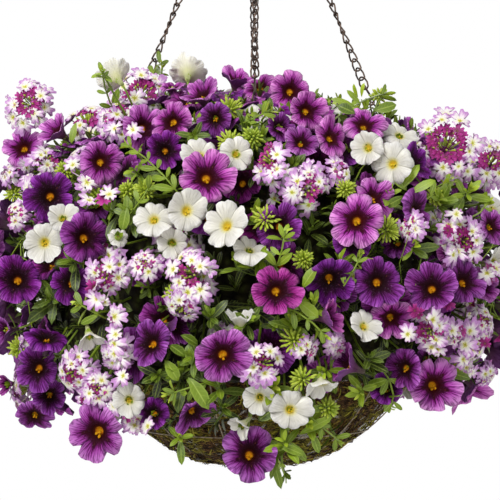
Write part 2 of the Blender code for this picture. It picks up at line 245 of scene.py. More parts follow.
def ringForm(segments, rings, shares=None):
    # rings are (radius, height) from one closed end to the other; the first and last are poles
    bpy.ops.mesh.primitive_circle_add(vertices=segments, radius=rings[1][0], location=(0, 0, 0),
                                      rotation=(0, 0, 0))
    piece = bpy.context.object
    bpy.ops.object.mode_set(mode="EDIT")
    bpy.ops.mesh.select_mode(type="VERT")
    bpy.ops.mesh.select_all(action="SELECT")
    # the circle starts on the Y axis; every form starts on the X axis
    bpy.ops.transform.rotate(value=pi / 2, orient_axis="Z", center_override=(0, 0, 0))
    bpy.ops.transform.translate(value=(0, 0, rings[1][1]))
    for last, ring in zip(rings[1:-2], rings[2:-1]):
        extrudeUp(ring[1] - last[1])
        grow = ring[0] / last[0]
        bpy.ops.transform.resize(value=(grow, grow, 1), center_override=(0, 0, ring[1]))
    extrudeUp(rings[-1][1] - rings[-2][1], merge=True)
    bpy.ops.mesh.select_all(action="DESELECT")
    bpy.ops.object.mode_set(mode="OBJECT")
    for vertex in piece.data.vertices:
        radius = hypot(vertex.co.x, vertex.co.y)
        vertex.select = abs(radius - rings[1][0]) < 1e-5 and abs(vertex.co.z - rings[1][1]) < 1e-5
    bpy.ops.object.mode_set(mode="EDIT")
    extrudeUp(rings[0][1] - rings[1][1], merge=True)
    bpy.ops.mesh.select_all(action="SELECT")
    bpy.ops.mesh.normals_make_consistent(inside=False)
    bpy.ops.object.mode_set(mode="OBJECT")
    template = readTemplate(piece, rings, segments, shares or [height for radius, height in rings])
    bpy.data.objects.remove(piece)
    return template


def newHeap():
    return dict(points=[], tone=[], hue=[], loops=[], starts=[], growth=[], count=0, corners=0)


def addCopy(heap, template, points, tone=0.0, hue=0.0):
    heap["points"].append(points)
    heap["tone"].append(np.full(template["count"], tone))
    heap["hue"].append(np.full(template["count"], hue))
    heap["loops"].append(template["loops"] + heap["count"])
    heap["starts"].append(template["starts"] + heap["corners"])
    heap["growth"].append(template["growth"])
    heap["count"] += template["count"]
    heap["corners"] += len(template["loops"])


def pieceFromHeap(heap, name):
    mesh = bpy.data.meshes.new(name)
    starts = np.concatenate(heap["starts"])
    loops = np.concatenate(heap["loops"])
    mesh.vertices.add(heap["count"])
    mesh.vertices.foreach_set("co", np.concatenate(heap["points"]).astype(np.float32).ravel())
    mesh.loops.add(len(loops))
    mesh.loops.foreach_set("vertex_index", loops.astype(np.int32))
    mesh.polygons.add(len(starts))
    mesh.polygons.foreach_set("loop_start", starts.astype(np.int32))
    mesh.update(calc_edges=True)
    growth = mesh.uv_layers.new(name="growth")
    growth.data.foreach_set("uv", np.concatenate(heap["growth"]).astype(np.float32).ravel())
    for kind in ("tone", "hue"):
        values = mesh.attributes.new(kind, "FLOAT", "POINT")
        values.data.foreach_set("value", np.concatenate(heap[kind]).astype(np.float32))
    piece = bpy.data.objects.new(name, mesh)
    bpy.context.collection.objects.link(piece)
    bpy.context.view_layer.objects.active = piece
    piece.select_set(True)
    bpy.ops.object.shade_smooth_by_angle(angle=radians(85))
    piece.select_set(False)
    return piece


def unit(vector):
    vector = np.asarray(vector, dtype=float)
    return vector / np.linalg.norm(vector)


def axesFor(facing, turn=0.0):
    # columns: the two directions across, and the way the shape faces
    facing = unit(facing)
    helper = upward if abs(facing[2]) < 0.95 else np.array((0.0, 1.0, 0.0))
    across = unit(np.cross(helper, facing))
    turned = across * cos(turn) + np.cross(facing, across) * sin(turn)
    return np.stack((turned, np.cross(facing, turned), facing), axis=1)


def sideways(axes, turn, wide=1.0, tall=1.0):
    # the direction square to the way a shape faces, at a turn round it
    return axes[:, 0] * cos(turn) * wide + axes[:, 1] * sin(turn) * tall


def placed(points, axes, origin):
    return points @ axes.T + np.asarray(origin)


def onRing(azimuth, reach, height):
    return np.array((cos(azimuth) * reach, sin(azimuth) * reach, height))


def smoothStep(part):
    return part * part * (3 - 2 * part)


# the outside of the planting: its radius at each height, and how far it hangs down over each plant
planting = dict(
    heights=(-0.142, -0.122, -0.106, -0.066, -0.010, 0.046, 0.092, 0.126, 0.144, 0.158, 0.168),
    radii=(0.130, 0.158, 0.184, 0.203, 0.211, 0.207, 0.188, 0.156, 0.124, 0.085, 0.0),
    sectors=("purple_calibrachoa_right", "verbena_back_right", "purple_calibrachoa_back",
             "white_calibrachoa_back_left", "verbena_left", "purple_calibrachoa_front_left",
             "white_calibrachoa_front_right", "verbena_right"),
    skirts=(0.80, 0.98, 0.88, 0.86, 0.90, 1.18, 1.00, 0.78),
    places=("far_right", "back_right", "back", "back_left", "left", "front_left", "front_right", "right"),
    centre="purple_calibrachoa_centre", centreRadius=0.055,
)


def skirtShare(azimuth):
    place = (azimuth / (pi / 4) - 0.5) % 8
    first = int(place)
    part = smoothStep(place - first)
    return planting["skirts"][first] * (1 - part) + planting["skirts"][(first + 1) % 8] * part


def plantingRadius(height, azimuth):
    if height < 0:
        height = height / skirtShare(azimuth)
    if height < planting["heights"][0] or height > planting["heights"][-1]:
        return 0.0
    return float(np.interp(height, planting["heights"], planting["radii"]))


def sectorOf(x, y, height=0.0):
    if hypot(x, y) < planting["centreRadius"] and height > 0.08:
        return planting["centre"]
    return planting["sectors"][int((atan2(y, x) % (2 * pi)) / (pi / 4)) % 8]


def outwardNormal(x, y, height):
    azimuth = atan2(y, x)
    step = 0.004
    slope = (plantingRadius(height + step, azimuth) - plantingRadius(height - step, azimuth)) / (2 * step)
    slope = max(-3.0, min(3.0, slope)) if height < 0.12 else max(-6.0, min(0.0, slope))
    return unit(onRing(azimuth, 1.0, -slope))


def world(spot):
    return spot + upward * rimZ


def spotSeen(across, height, lift):
    # where a line from the camera meets the planting, for a spot in mm in the plane of the axis
    away = np.linspace(-0.26, 0.10, 361)
    share = (studio["distance"] + away) / studio["distance"]
    x = cameraPlace.x + (across / 1000 - cameraPlace.x) * share
    level = cameraPlace.z - rimZ
    z = level + (height / 1000 - level) * share
    reach = np.array([plantingRadius(h, atan2(y, px)) for h, y, px in zip(z, away, x)])
    gap = np.hypot(x, away) - reach - lift / 1000
    inside = np.nonzero((gap < 0) & (reach > 0))[0]
    index = inside[0] if len(inside) else int(np.argmin(gap + (away > 0.03) * 1.0))
    return np.array((x[index], away[index], z[index])), float(share[index])


def aimed(yaw, pitch):
    # yaw to the right and pitch upwards, in degrees from straight at the camera
    yaw, pitch = radians(yaw), radians(pitch)
    return np.array((sin(yaw) * cos(pitch), -cos(yaw) * cos(pitch), sin(pitch)))


def defaultFacing(spot, rise=0.22, loose=0.36):
    facing = 0.9 * unit(eye - world(spot)) + 0.5 * outwardNormal(*spot) + upward * rise
    return facing + rng.normal(0, loose, 3)


# trumpets: across, height, radius and lift in mm, tone (dark 0 to orchid 1, matched to how light each flower
# looks, so partly its own colour and partly painted light and shade), then yaw and pitch in degrees
purpleSpots = (
    (-188, 109, 17, 0, .6), (-160, 122, 15, 6, .8, -50, 30), (-125, 98, 18, 4, .4), (-167, 70, 20, 2, .0),
    (-91, 125, 18, -6, .4), (-67, 130, 17, 0, .5), (-73, 107, 15, -8, .0), (-43, 151, 16, -4, .4, -20, 55),
    (-15, 163, 14, -22, .7, 25, 60), (-67, 157, 11, -6, .5, -10, 70), (-39, 85, 22, 10, .55),
    (-138, 36, 20, 0, .12, 30, 5), (-32, 133, 14, -12, .1), (4, 158, 15, -24, .65, -25, 40),
    (29, 155, 17, -6, .8, 10, 10), (42, 139, 16, 2, .9, 20, 5), (38, 113, 15, -6, .3),
    (62, 117, 16, 0, .6, 35, 20), (89, 127, 17, 0, .8, 10, 40), (20, 125, 12, -14, .1),
    (129, 96, 16, -8, .0, 50, 20), (131, 58, 18, 0, .15), (83, 50, 21, 8, .6), (97, 68, 17, -4, .5, 35, 20),
    (20, 45, 18, -4, .05), (79, 33, 15, -8, .0), (192, 45, 15, 0, .3, 40, 5), (-193, 2, 20, 4, .0),
    (-150, -1, 16, -10, .0), (-169, -46, 17, 0, .0), (-176, -70, 18, 0, .05), (-84, -50, 19, 2, .1),
    (-64, -36, 15, -8, .1, 50, 0), (-26, -59, 22, 10, .3), (-167, -92, 14, -4, .05),
    (-179, -109, 15, 0, .15, -20, -45), (-128, -122, 24, 10, .35), (-82, -107, 13, -8, .0),
    (-50, -106, 18, 2, .15, 35, -35), (-4, -140, 22, 6, .2), (18, -7, 21, 12, .8), (61, 2, 20, 2, .0),
    (100, 0, 20, 4, .05), (144, -5, 20, 4, .1), (170, 0, 18, 0, .15), (183, -4, 16, -4, .3),
    (59, -28, 16, 0, .75, 60, 10), (111, -29, 17, -2, .6, 10, -15), (76, -68, 17, 0, .25, -60, 20),
    (173, -52, 12, -8, .1), (122, -70, 16, -2, .1, -40, 0), (146, -84, 22, 8, .5), (107, -87, 13, -8, .0),
    (-202, -39, 12, 0, .2, -50, 0), (-200, -83, 9, 0, .3, -50, -10), (116, 32, 14, -10, .1),
    (160, 24, 14, -8, .4, 30, 10),
)
whiteSpots = (
    (-113, 167, 15, 0, 0, -150, 30), (-54, 170, 16, 0, 0, 170, 30), (-45, 103, 15, 4, 0),
    (-15, 104, 13, 4, 0), (-156, 52, 13, 4, 0, 5, 35), (-171, 32, 16, 6, 0), (-82, 51, 16, 6, 0, -15, 25),
    (-55, 58, 17, 10, 0), (-23, 46, 18, 8, 0, -15, 10), (-67, 32, 12, 2, 0, 10, -10), (-111, 36, 8, 4, 0),
    (92, 109, 14, 6, 0, -20, 10), (112, 96, 16, 8, 0), (118, 119, 13, 0, 0, 20, 40),
    (194, 59, 14, 0, 0, 40, 30), (-134, -45, 12, 8, 0, 50, -60), (-102, -96, 13, 2, 0, 5, -5),
    (89, -36, 14, 2, 0, 30, 20), (55, -83, 14, 4, 0, -10, -60), (4, -94, 14, 2, 0, -15, -10),
    (29, -104, 16, 8, 0, 10, 0), (-11, -117, 12, 0, 0, -50, -30), (-12, -32, 13, -2, 0, 10, 75),
    (-4, 26, 14, 2, 0, 15, 50), (195, 16, 13, 0, 0, 50, 10),
)
# verbena heads: across, height, radius, lift, share of magenta, then yaw and pitch
verbenaSpots = (
    (-185, 147, 21, 0, .8, -10, 10), (-137, 135, 21, 0, .3, -15, 50), (-92, 155, 25, 2, .4, 10, 20),
    (-110, 135, 20, 0, .3), (157, 113, 31, 8, .5, 0, 15), (194, 99, 22, 2, .35),
    (10, 99, 21, 4, .35, -35, 20), (44, 77, 23, 8, .4, 10, 0), (-167, 100, 15, 2, .5, 40, 30),
    (-202, 89, 11, 0, .4, -50, 20), (-196, 55, 12, 2, .4), (-121, 4, 20, 4, .75, -10, -20),
    (-54, 6, 24, 8, .35), (-90, 16, 14, 4, .3), (171, 34, 21, 4, .5, 10, 0), (125, 45, 14, 2, .5, -20, 0),
    (-111, -62, 17, 0, .35, 0, -30), (-149, -75, 20, 2, .4, -30, -20), (-128, -87, 15, 2, .4),
    (8, -65, 21, 12, .5), (142, -40, 17, 6, .5, -10, -10), (162, -44, 12, 4, .5, 20, -20),
    (178, -58, 14, 2, .3, 30, -30), (171, -74, 11, 2, .5, 10, -35), (190, -77, 12, 0, .2, 40, -20),
    (188, -31, 13, 0, .4, 40, 10), (189, -45, 10, 0, .3, 60, -20), (44, -55, 12, 2, .3, 30, -10),
    (68, -52, 11, 0, .3, 30, -10), (-97, -116, 12, -6, .4, 0, -30), (70, 92, 14, 0, .35, 30, 30),
    (-60, -22, 16, 4, .35, -20, -40),
)
# heads still in bud, and leafy tips that stand in front
budSpots = (
    (-20, 146, 11, 0), (-20, 120, 11, 2), (-129, 75, 9, 0), (-106, 76, 9, 0), (-197, 75, 8, 0),
    (-156, 94, 8, 2), (7, 57, 10, 4), (109, 46, 11, 4), (33, -44, 10, 4), (34, -74, 10, 4),
    (102, 156, 8, 0), (61, -100, 9, 0), (-66, -6, 8, 4), (74, 78, 8, 2), (-92, 78, 8, 2), (150, 70, 8, 0),
    (40, 20, 8, 0), (-4, 116, 9, 2),
)
leafSpots = (
    (150, 70, 18, 2), (-99, 92, 15, 0), (-3, 131, 17, 2), (6, 120, 14, 0), (10, 142, 14, 0),
    (130, 30, 15, 0), (-52, -60, 17, 8), (24, -128, 15, 6), (-80, -75, 16, 4), (56, -74, 15, 2),
    (-100, 60, 15, 2), (70, 20, 15, 2), (-30, -80, 15, 6), (45, -115, 16, 4), (-15, 20, 14, 2),
    (95, -60, 15, 2), (-120, 60, 14, 0), (5, 20, 14, 2), (-62, -124, 13, 2), (110, 75, 15, 0),
    (-50, 120, 13, 0), (30, 95, 13, 0), (-36, -25, 15, 4), (48, -15, 13, 2), (30, -30, 14, 2),
    (160, -70, 14, 0), (-150, 20, 15, 2), (175, 75, 15, 2), (-5, -30, 14, 2), (-60, -70, 16, 2),
    (15, -85, 14, 4), (-25, -100, 14, 2), (85, -92, 14, -2), (62, 62, 13, 0),
)
# single leaves: foot and tip, across and height, then half the width in mm and tone
leafSingles = (
    (83, 142, 64, 149, 2.5, .7), (82, 137, 69, 143, 4.5, .4), (86, 145, 76, 155, 2.2, .8),
    (84, 150, 80, 160, 2.0, .9), (87, 150, 88, 161, 2.0, .95), (97, 139, 114, 144, 4.2, .5),
    (18, -132, 38, -139, 3.4, .6), (14, -140, 21, -166, 3.0, .5), (20, -138, 13, -158, 2.4, .5),
    (29, -130, 41, -144, 3.0, .6), (36, -124, 60, -111, 3.5, .7), (46, -122, 52, -137, 3.0, .6),
    (3, -113, 14, -104, 4.5, .3), (34, -15, 50, -27, 4.5, .7), (39, -5, 48, 10, 4.5, .7),
    (-70, -51, -58, -58, 4.6, .4), (-60, -43, -47, -50, 4.2, .5), (-73, -63, -63, -78, 4.6, .7),
    (-54, -77, -39, -99, 5.4, .6), (-51, -68, -54, -53, 3.6, .5), (-104, 62, -107, 44, 4.0, .6),
    (-145, 130, -149, 114, 3.0, .7), (28, -122, 24, -106, 3.4, .6), (120, 76, 132, 94, 3.6, .7),
    (124, 74, 112, 88, 3.6, .6), (126, 72, 144, 82, 3.4, .7), (122, 70, 108, 62, 3.4, .5),
)
# leafy shoots that cross in front of the flowers: start and end, across and height in mm, lift, leaves
shootSpots = (
    (-60, 70, -104, 112, 16, 6), (-110, 46, -84, 80, 6, 3), (-12, 128, 14, 140, 6, 2),
    (60, 128, 108, 154, 4, 3), (130, 60, 160, 84, 4, 2), (24, -20, 58, -44, 10, 3),
    (-34, -80, -72, -92, 6, 3), (34, -100, 70, -130, 4, 3), (8, -122, 26, -160, 4, 4),
    (100, -66, 110, -104, 2, 2), (-120, -30, -146, -16, 6, 2), (66, -12, 88, 24, 6, 2),
    (16, 10, 25, 42, 6, 3), (-112, 136, -124, 172, 0, 3), (-84, 158, -74, 177, 0, 2),
    (150, 44, 190, 66, 2, 2),
)
# loose florets strung along a stem: start and end, across and height in mm, lift, florets, spread in mm
spraySpots = (
    (-130, 6, -106, -73, 6, 12, 4), (136, -34, 188, -52, 8, 16, 9), (-148, -78, -92, -120, -4, 13, 6),
    (162, 46, 190, 2, 4, 10, 8), (-150, 92, -120, 70, 4, 7, 5), (-196, 96, -178, 70, 0, 6, 5),
    (-88, 148, -112, 128, 4, 6, 6), (50, 70, 20, 108, 6, 6, 7),
)

calibrachoa = dict(
    lobes=5, segments=40, fewerSegments=30, purpleNotch=(0.14, 0.30), whiteNotch=(0.07, 0.16),
    purpleMidNotch=0.04, whiteMidNotch=0.08, overlap=0.09, valley=0.16, fold=0.06, crown=0.09,
    lobeLift=0.11, unevenLobes=0.05, curl=0.5, warp=0.09, narrowing=0.28, oval=0.06, fullness=1.1,
    cup=(-0.05, 0.22), sideOnCup=0.3, recurve=(0.2, 1.1), purpleRuffle=(0.02, 0.045),
    whiteRuffle=(0.03, 0.055), throat=0.24, anther=0.055, antherLength=(0.20, 0.28), base=0.86,
    sepals=5, sepalLength=0.011, sepalWidth=0.0024, sepalLean=(0.25, 0.5), stemRadius=0.00085,
    stemLength=0.045,
)
florets = dict(
    segments=30, fewerSegments=20, petals=5, radius=0.0083, tubeRadius=0.0006, outerPetals=0.30,
    cleft=(0.40, 0.55), unevenPetals=(0.9, 1.06), petalLift=0.16, cup=(-0.25, 0.1), ruffle=0.14,
    lilac=(-0.35, 0.55),
)
trumpetRings = (
    (0.001, -0.26), (0.11, -0.20), (0.18, -0.11), (0.29, -0.02), (0.46, 0.05), (0.65, 0.11), (0.84, 0.14),
    (1.00, 0.13), (0.985, 0.095), (0.62, 0.03), (0.29, -0.16), (0.15, -0.48), (0.11, -0.85), (0.001, -0.90),
)
trumpetShares = (0, 0.11, 0.18, 0.29, 0.46, 0.65, 0.84, 1.0, 1.05, 1.35, 1.6, 1.76, 1.9, 2.0)
floretRings = ((0.001, -0.10), (0.52, 0.10), (1.0, 0.02), (0.001, -0.28))
print("modelling the templates")
trumpet = ringForm(calibrachoa["segments"], trumpetRings, trumpetShares)
fewer = [number for number in range(len(trumpetRings)) if number not in (2, 9, 11)]
plainerTrumpet = ringForm(calibrachoa["fewerSegments"], [trumpetRings[number] for number in fewer],
                          [trumpetShares[number] for number in fewer])
sepal = ringForm(4, ((0, 0), (0.6, 0.2), (1.0, 0.5), (0.7, 0.8), (0, 1.0)))
leafForm = ringForm(4, ((0, 0), (0.42, 0.14), (0.88, 0.38), (1.0, 0.62), (0.70, 0.86), (0, 1.0)))
stamens = ringForm(6, ((0, 0), (0.7, 0.3), (1.0, 0.7), (0, 1.0)), (0, 0.02, 0.05, 0.07))
toothedLeaf = ringForm(4, ((0, 0), (0.30, 0.10), (0.62, 0.22), (0.50, 0.28), (0.92, 0.42), (0.74, 0.48),
                           (0.98, 0.62), (0.72, 0.68), (0.72, 0.80), (0.42, 0.86), (0, 1.0)))
budStick = ringForm(5, ((0, 0), (0.48, 0.12), (1.0, 0.80), (0, 1.0)))
stalk = ringForm(5, ((0, 0), (1, 0.01), (1, 0.33), (1, 0.66), (1, 0.99), (0, 1.0)))
strand = ringForm(3, ((0, 0), (0.9, 0.02), (1, 0.5), (0.7, 0.98), (0, 1.0)))
floret = ringForm(florets["segments"], floretRings, (0, 0.52, 1.0, 2.0))
plainerFloret = ringForm(florets["fewerSegments"], floretRings, (0, 0.52, 1.0, 2.0))


def trumpetPoints(template, radius, cup, ruffle, recurve, notches, midNotch):
    lobes = calibrachoa["lobes"]
    ring, angle = template["ring"], template["angle"]
    share, height = template["table"][ring].T
    lobe = angle * lobes / (2 * pi)
    which = np.round(lobe).astype(int) % lobes
    signed = lobe - np.round(lobe)
    part = np.abs(signed) * 2
    wave = rng.uniform(0, 2 * pi, 4)
    notch = rng.uniform(*notches)
    size = 1 + rng.normal(0, calibrachoa["unevenLobes"], lobes)[which] * (1 - part ** 3)
    outline = size * (1 - notch * part ** 6 - midNotch * np.exp(-(part / 0.2) ** 2))
    spread = share * (1 + (outline - 1) * np.clip((share - 0.25) / 0.75, 0, 1) ** 1.3)
    outer = np.clip((share - 0.3) / 0.7, 0, 1)
    # every lobe stands at its own slope, and one side of the flower may be curled back
    slopes = rng.normal(0, calibrachoa["lobeLift"], lobes)
    rise = height + slopes[which] * outer ** 1.3 * (1 - part ** 4)
    rise -= rng.uniform(0, calibrachoa["curl"]) * outer ** 2 * np.clip(np.cos(angle - wave[2]) - 0.3, 0, 1)
    rise += cup * outer ** 1.4
    rise -= recurve * np.clip(share - 0.6, 0, 1) ** 2
    rise += calibrachoa["overlap"] * signed * 2 * (1 - part ** 6) * outer ** 1.2
    rise -= calibrachoa["valley"] * part ** 4 * outer
    rise += calibrachoa["crown"] * (1 - part ** 2) * outer ** 2
    rise -= calibrachoa["fold"] * np.exp(-(part / 0.16) ** 2) * outer
    rise += ruffle * outer ** 2.2 * (np.sin(6 * angle + wave[0]) + 0.8 * np.sin(11 * angle + wave[1]))
    rise += calibrachoa["warp"] * outer * np.cos(2 * angle + wave[3])
    spread = spread * (1 - calibrachoa["narrowing"] * cup * outer)
    x, y = spread * np.cos(angle), spread * np.sin(angle)
    squeeze = rng.uniform(-calibrachoa["oval"], calibrachoa["oval"])
    return np.stack((x * (1 + squeeze), y * (1 - squeeze), rise), axis=1) * radius * calibrachoa["fullness"]


def leafPoints(template, length, width, fold, droop, twist=0.0, thickness=0.0005):
    # the leaf lies along z; its edges are the first and third points of each ring, its midrib the second
    x, y, z = template["places"].T
    across = x * width
    bulge = np.sign(y) * thickness * (np.abs(y) > tiny)
    lift = fold * np.abs(across) + bulge - fold * 0.5 * width * (np.abs(y) < tiny) * (np.abs(x) < tiny)
    lift = lift - droop * length * z ** 2 + across * np.sin(twist * z)
    return np.stack((across * np.cos(twist * z), lift, z * length), axis=1)


def alongAxes(direction, top):
    # columns for a leaf: across, its upper face, along its length
    direction, top = unit(direction), np.asarray(top, dtype=float)
    top = top - direction * float(top @ direction)
    if np.linalg.norm(top) < 1e-4:
        top = np.cross(direction, (1.0, 0.3, 0.2))
    top = unit(top)
    return np.stack((np.cross(top, direction), top, direction), axis=1)


def onCurve(start, bend, end, share):
    return start * (1 - share) ** 2 + bend * 2 * share * (1 - share) + end * share ** 2


def stalkPoints(start, bend, end, radius, template=stalk):
    # a stem on a smooth curve from start to end, pulled towards bend
    x, y, z = template["places"].T
    axes = axesFor(end - start)
    centre = onCurve(start, bend, end, np.clip(z, 0, 1)[:, None])
    return centre + (x[:, None] * axes[:, 0] + y[:, None] * axes[:, 1]) * radius


def addStem(heap, start, pull, end, radius, tone=0.5):
    addCopy(heap, stalk, stalkPoints(start, start - pull, end, radius), tone)


heaps = {}


def heapFor(spot, kind):
    return heaps.setdefault((sectorOf(*spot), kind), newHeap())


def rootOf(spot, depth):
    # a place inside the planting, where the stem of what grows at spot comes from
    inner = np.array((spot[0] * 0.55, spot[1] * 0.55, max(0.01, min(spot[2], 0.06))))
    away = inner - spot
    return world(spot + away / max(np.linalg.norm(away), tiny) * depth)


def addTrumpet(spot, radius, facing, tone, hue, white, sideOn=False, template=plainerTrumpet):
    origin = world(spot)
    axes = axesFor(facing, rng.uniform(0, 2 * pi))
    forward = axes[:, 2]
    colourName = "white" if white else "purple"
    heap, green = heapFor(spot, colourName), heapFor(spot, "green")
    sag = forward * axes[2, 2] - upward
    width = radius * calibrachoa["anther"]
    for turn in np.arange(3 if template is trumpet else 1) * 2.1 + rng.uniform(0, 2):
        aside = sideways(axes, turn)
        foot = origin - forward * radius * calibrachoa["throat"] + sag * radius * 0.05 + aside * radius * 0.05
        length = radius * rng.uniform(*calibrachoa["antherLength"])
        shape = stamens["places"] * np.array((width, width, length))
        addCopy(heap, stamens, placed(shape, axesFor(forward + sag * 0.3 + aside * 0.2), foot), tone, hue)
    cup = rng.uniform(*calibrachoa["cup"]) + (calibrachoa["sideOnCup"] if sideOn else 0.0)
    ruffle = rng.uniform(*calibrachoa[colourName + "Ruffle"])
    points = trumpetPoints(template, radius, cup, ruffle, rng.uniform(*calibrachoa["recurve"]),
                           calibrachoa[colourName + "Notch"], calibrachoa[colourName + "MidNotch"])
    addCopy(heap, template, placed(points, axes, origin), tone, hue)
    base = origin - forward * radius * calibrachoa["base"]
    for turn in np.arange(calibrachoa["sepals"]) * 2 * pi / calibrachoa["sepals"] + rng.uniform(0, 1):
        outward = sideways(axes, turn)
        direction = forward * 0.95 + outward * rng.uniform(*calibrachoa["sepalLean"])
        shape = leafPoints(sepal, calibrachoa["sepalLength"], calibrachoa["sepalWidth"], 0.2, -0.15)
        addCopy(green, sepal, placed(shape, alongAxes(direction, -outward), base), rng.uniform(0.35, 0.8))
    addStem(green, base, forward * 0.012, rootOf(spot, calibrachoa["stemLength"]), calibrachoa["stemRadius"])


def addFloret(heap, template, origin, facing, outward, radius, tone, tubeEnd):
    # the petals that point out of the head are the longest and the most lilac
    axes = axesFor(facing, rng.uniform(0, 2 * pi))
    petals = florets["petals"]
    ring, angle = template["ring"], template["angle"]
    petal = angle * petals / (2 * pi)
    part = np.abs(petal - np.round(petal)) * 2
    which = np.round(petal).astype(int) % petals
    away = np.cos(which * 2 * pi / petals - atan2(outward @ axes[:, 1], outward @ axes[:, 0]))
    tips = (0, 0.34, 0.5, 0.67, 1), (0.84, 1.04, 1.03, 0.96, rng.uniform(*florets["cleft"]))
    reach = np.interp(part, *tips) * rng.uniform(*florets["unevenPetals"], petals)[which]
    reach = reach * (1 + florets["outerPetals"] * away)
    x, y, z = template["places"].T
    waist = np.interp(part, (0, 0.6, 1), (1.0, 1.0, 0.8))
    grown = np.where(ring == 2, reach, np.where(ring == 1, waist, 1.0))
    bent = rng.normal(0, florets["petalLift"], petals)[which] * (part < 0.9)
    bent = bent + rng.uniform(*florets["cup"]) - 0.12 * away
    lift = np.where(ring == 2, bent + florets["ruffle"] * np.sin(angle * 2 + rng.uniform(0, 6)), 0.0)
    shape = np.stack((x * grown, y * grown, z + lift), axis=1) * radius
    lilac = np.clip(rng.uniform(*florets["lilac"]) + 0.5 * away, 0, 1) * (ring > 0)
    addCopy(heap, template, placed(shape, axes, origin), tone, lilac)
    if tubeEnd is not None:
        forward = axes[:, 2] * radius
        bend = origin - forward * 0.8
        tube = stalkPoints(origin - forward * 0.1, bend, tubeEnd, florets["tubeRadius"], strand)
        addCopy(heap, strand, tube, 0.3 + tone * 0.5, 0.3)


verbena = dict(
    budRadius=0.0009, buds=14, budSpread=0.34, budLength=0.54, heart=0.75, reach=0.70, spacing=1.40,
    stretch=(0.80, 1.18), thinning=0.012, stemRadius=0.0011,
    outerTones=(0.0, 0.1), innerTones=(0.75, 1.0),  # lilac and white outside, magenta inside
)


def addVerbena(spot, radius, facing, magenta, template=plainerFloret):
    heap, green = heapFor(spot, "verbena"), heapFor(spot, "green")
    axes = axesFor(facing, rng.uniform(0, 2 * pi))
    origin, forward = world(spot), axes[:, 2]
    heart = origin - forward * radius * verbena["heart"]
    size = florets["radius"] * min(1.0, 0.62 + radius / 0.055)
    outer = radius - size * verbena["reach"]
    # no head is quite round, and each is thinner on one side
    wide, tall = rng.uniform(*verbena["stretch"], 2)
    thin = rng.uniform(0, 2 * pi)

    def ringOf(count, share, drop, lean, scale, tones, skip, tubes=False):
        start = rng.uniform(0, 6.28)
        for step in range(count):
            turn = start + step * 2 * pi / count + rng.normal(0, 0.16)
            thinner = min(0.75, verbena["thinning"] / radius) * max(0.0, cos(turn - thin)) ** 6
            if rng.random() < skip + thinner:
                continue
            outward = sideways(axes, turn, wide, tall)
            place = origin + outward * outer * share * rng.uniform(0.9, 1.08)
            place = place - forward * radius * (drop + rng.uniform(-0.05, 0.05))
            face = forward + outward * (lean + rng.uniform(-0.15, 0.15))
            grown = size * scale * rng.uniform(0.88, 1.1)
            tubeEnd = heart if tubes else None
            addFloret(heap, template, place, face, outward, grown, rng.uniform(*tones), tubeEnd)

    count = max(5, int(round(2 * pi * outer / (size * verbena["spacing"]))))
    inner = max(6, int(round(count * 1.1)))
    # florets, share of the radius, drop, lean, scale, tones, share left out, tubes
    ringOf(count, 1.0, 0.30, 0.75, 0.95, verbena["outerTones"], 0.14, True)
    ringOf(max(5, int(count * 0.75)), 0.78, 0.05, 0.35, 0.88, verbena["outerTones"], 0.10)
    ringOf(inner, 0.48, 0.08, 0.1, 0.56, verbena["innerTones"], 0.5 - magenta)
    ringOf(max(4, int(inner * 0.8)), 0.38, 0.10, -0.3, 0.48, verbena["innerTones"], 0.1, template is floret)
    for step in range(verbena["buds"]):
        turn, out = step * 2.4, sqrt((step + 0.5) / verbena["buds"]) * verbena["budSpread"]
        outward = sideways(axes, turn)
        foot = heart + outward * radius * out * 0.5 + forward * radius * 0.26
        length = radius * verbena["budLength"] * rng.uniform(0.85, 1.1)
        addBud(green, foot, forward + outward * out * 1.6, turn, verbena["budRadius"], length, 0.3)
    addStem(green, heart, forward * 0.015, rootOf(spot, 0.055), verbena["stemRadius"])


def addBud(heap, foot, direction, turn, width, length, purple):
    shape = budStick["places"] * np.array((width, width, length))
    points = placed(shape, axesFor(direction, turn), foot)
    addCopy(heap, budStick, points, rng.uniform(0.8, 1.1), rng.uniform(0.0, purple))


budHead = dict(buds=38, budRadius=0.001, opening=1.15, hollow=0.18, lengths=(0.65, 1.05))


def addBudHead(spot, radius, facing):
    green = heapFor(spot, "green")
    axes = axesFor(facing, rng.uniform(0, 6.28))
    forward = axes[:, 2]
    origin = world(spot) - forward * radius * 0.9
    for step in range(budHead["buds"]):
        lean = acos(1 - (step + 0.5) / budHead["buds"] * budHead["opening"])
        turn = step * goldenTurn
        direction = forward * cos(lean) + sideways(axes, turn) * sin(lean)
        foot = origin + direction * radius * budHead["hollow"]
        length = radius * rng.uniform(*budHead["lengths"])
        addBud(green, foot, direction, turn, budHead["budRadius"], length, 0.12)
    addStem(green, origin, forward * 0.012, rootOf(spot, 0.05), 0.001)


leaves = dict(
    length=0.021, width=0.0036, fold=0.28, droop=(0.0, 0.28), perTip=8, tipSize=0.016,
    toothedLength=0.025, toothedWidth=0.0052, toothedFold=0.30, toothedDroop=(0.05, 0.30),
    twist=0.4, innerLean=18, leanRange=62,  # degrees from the youngest leaf to the oldest
)


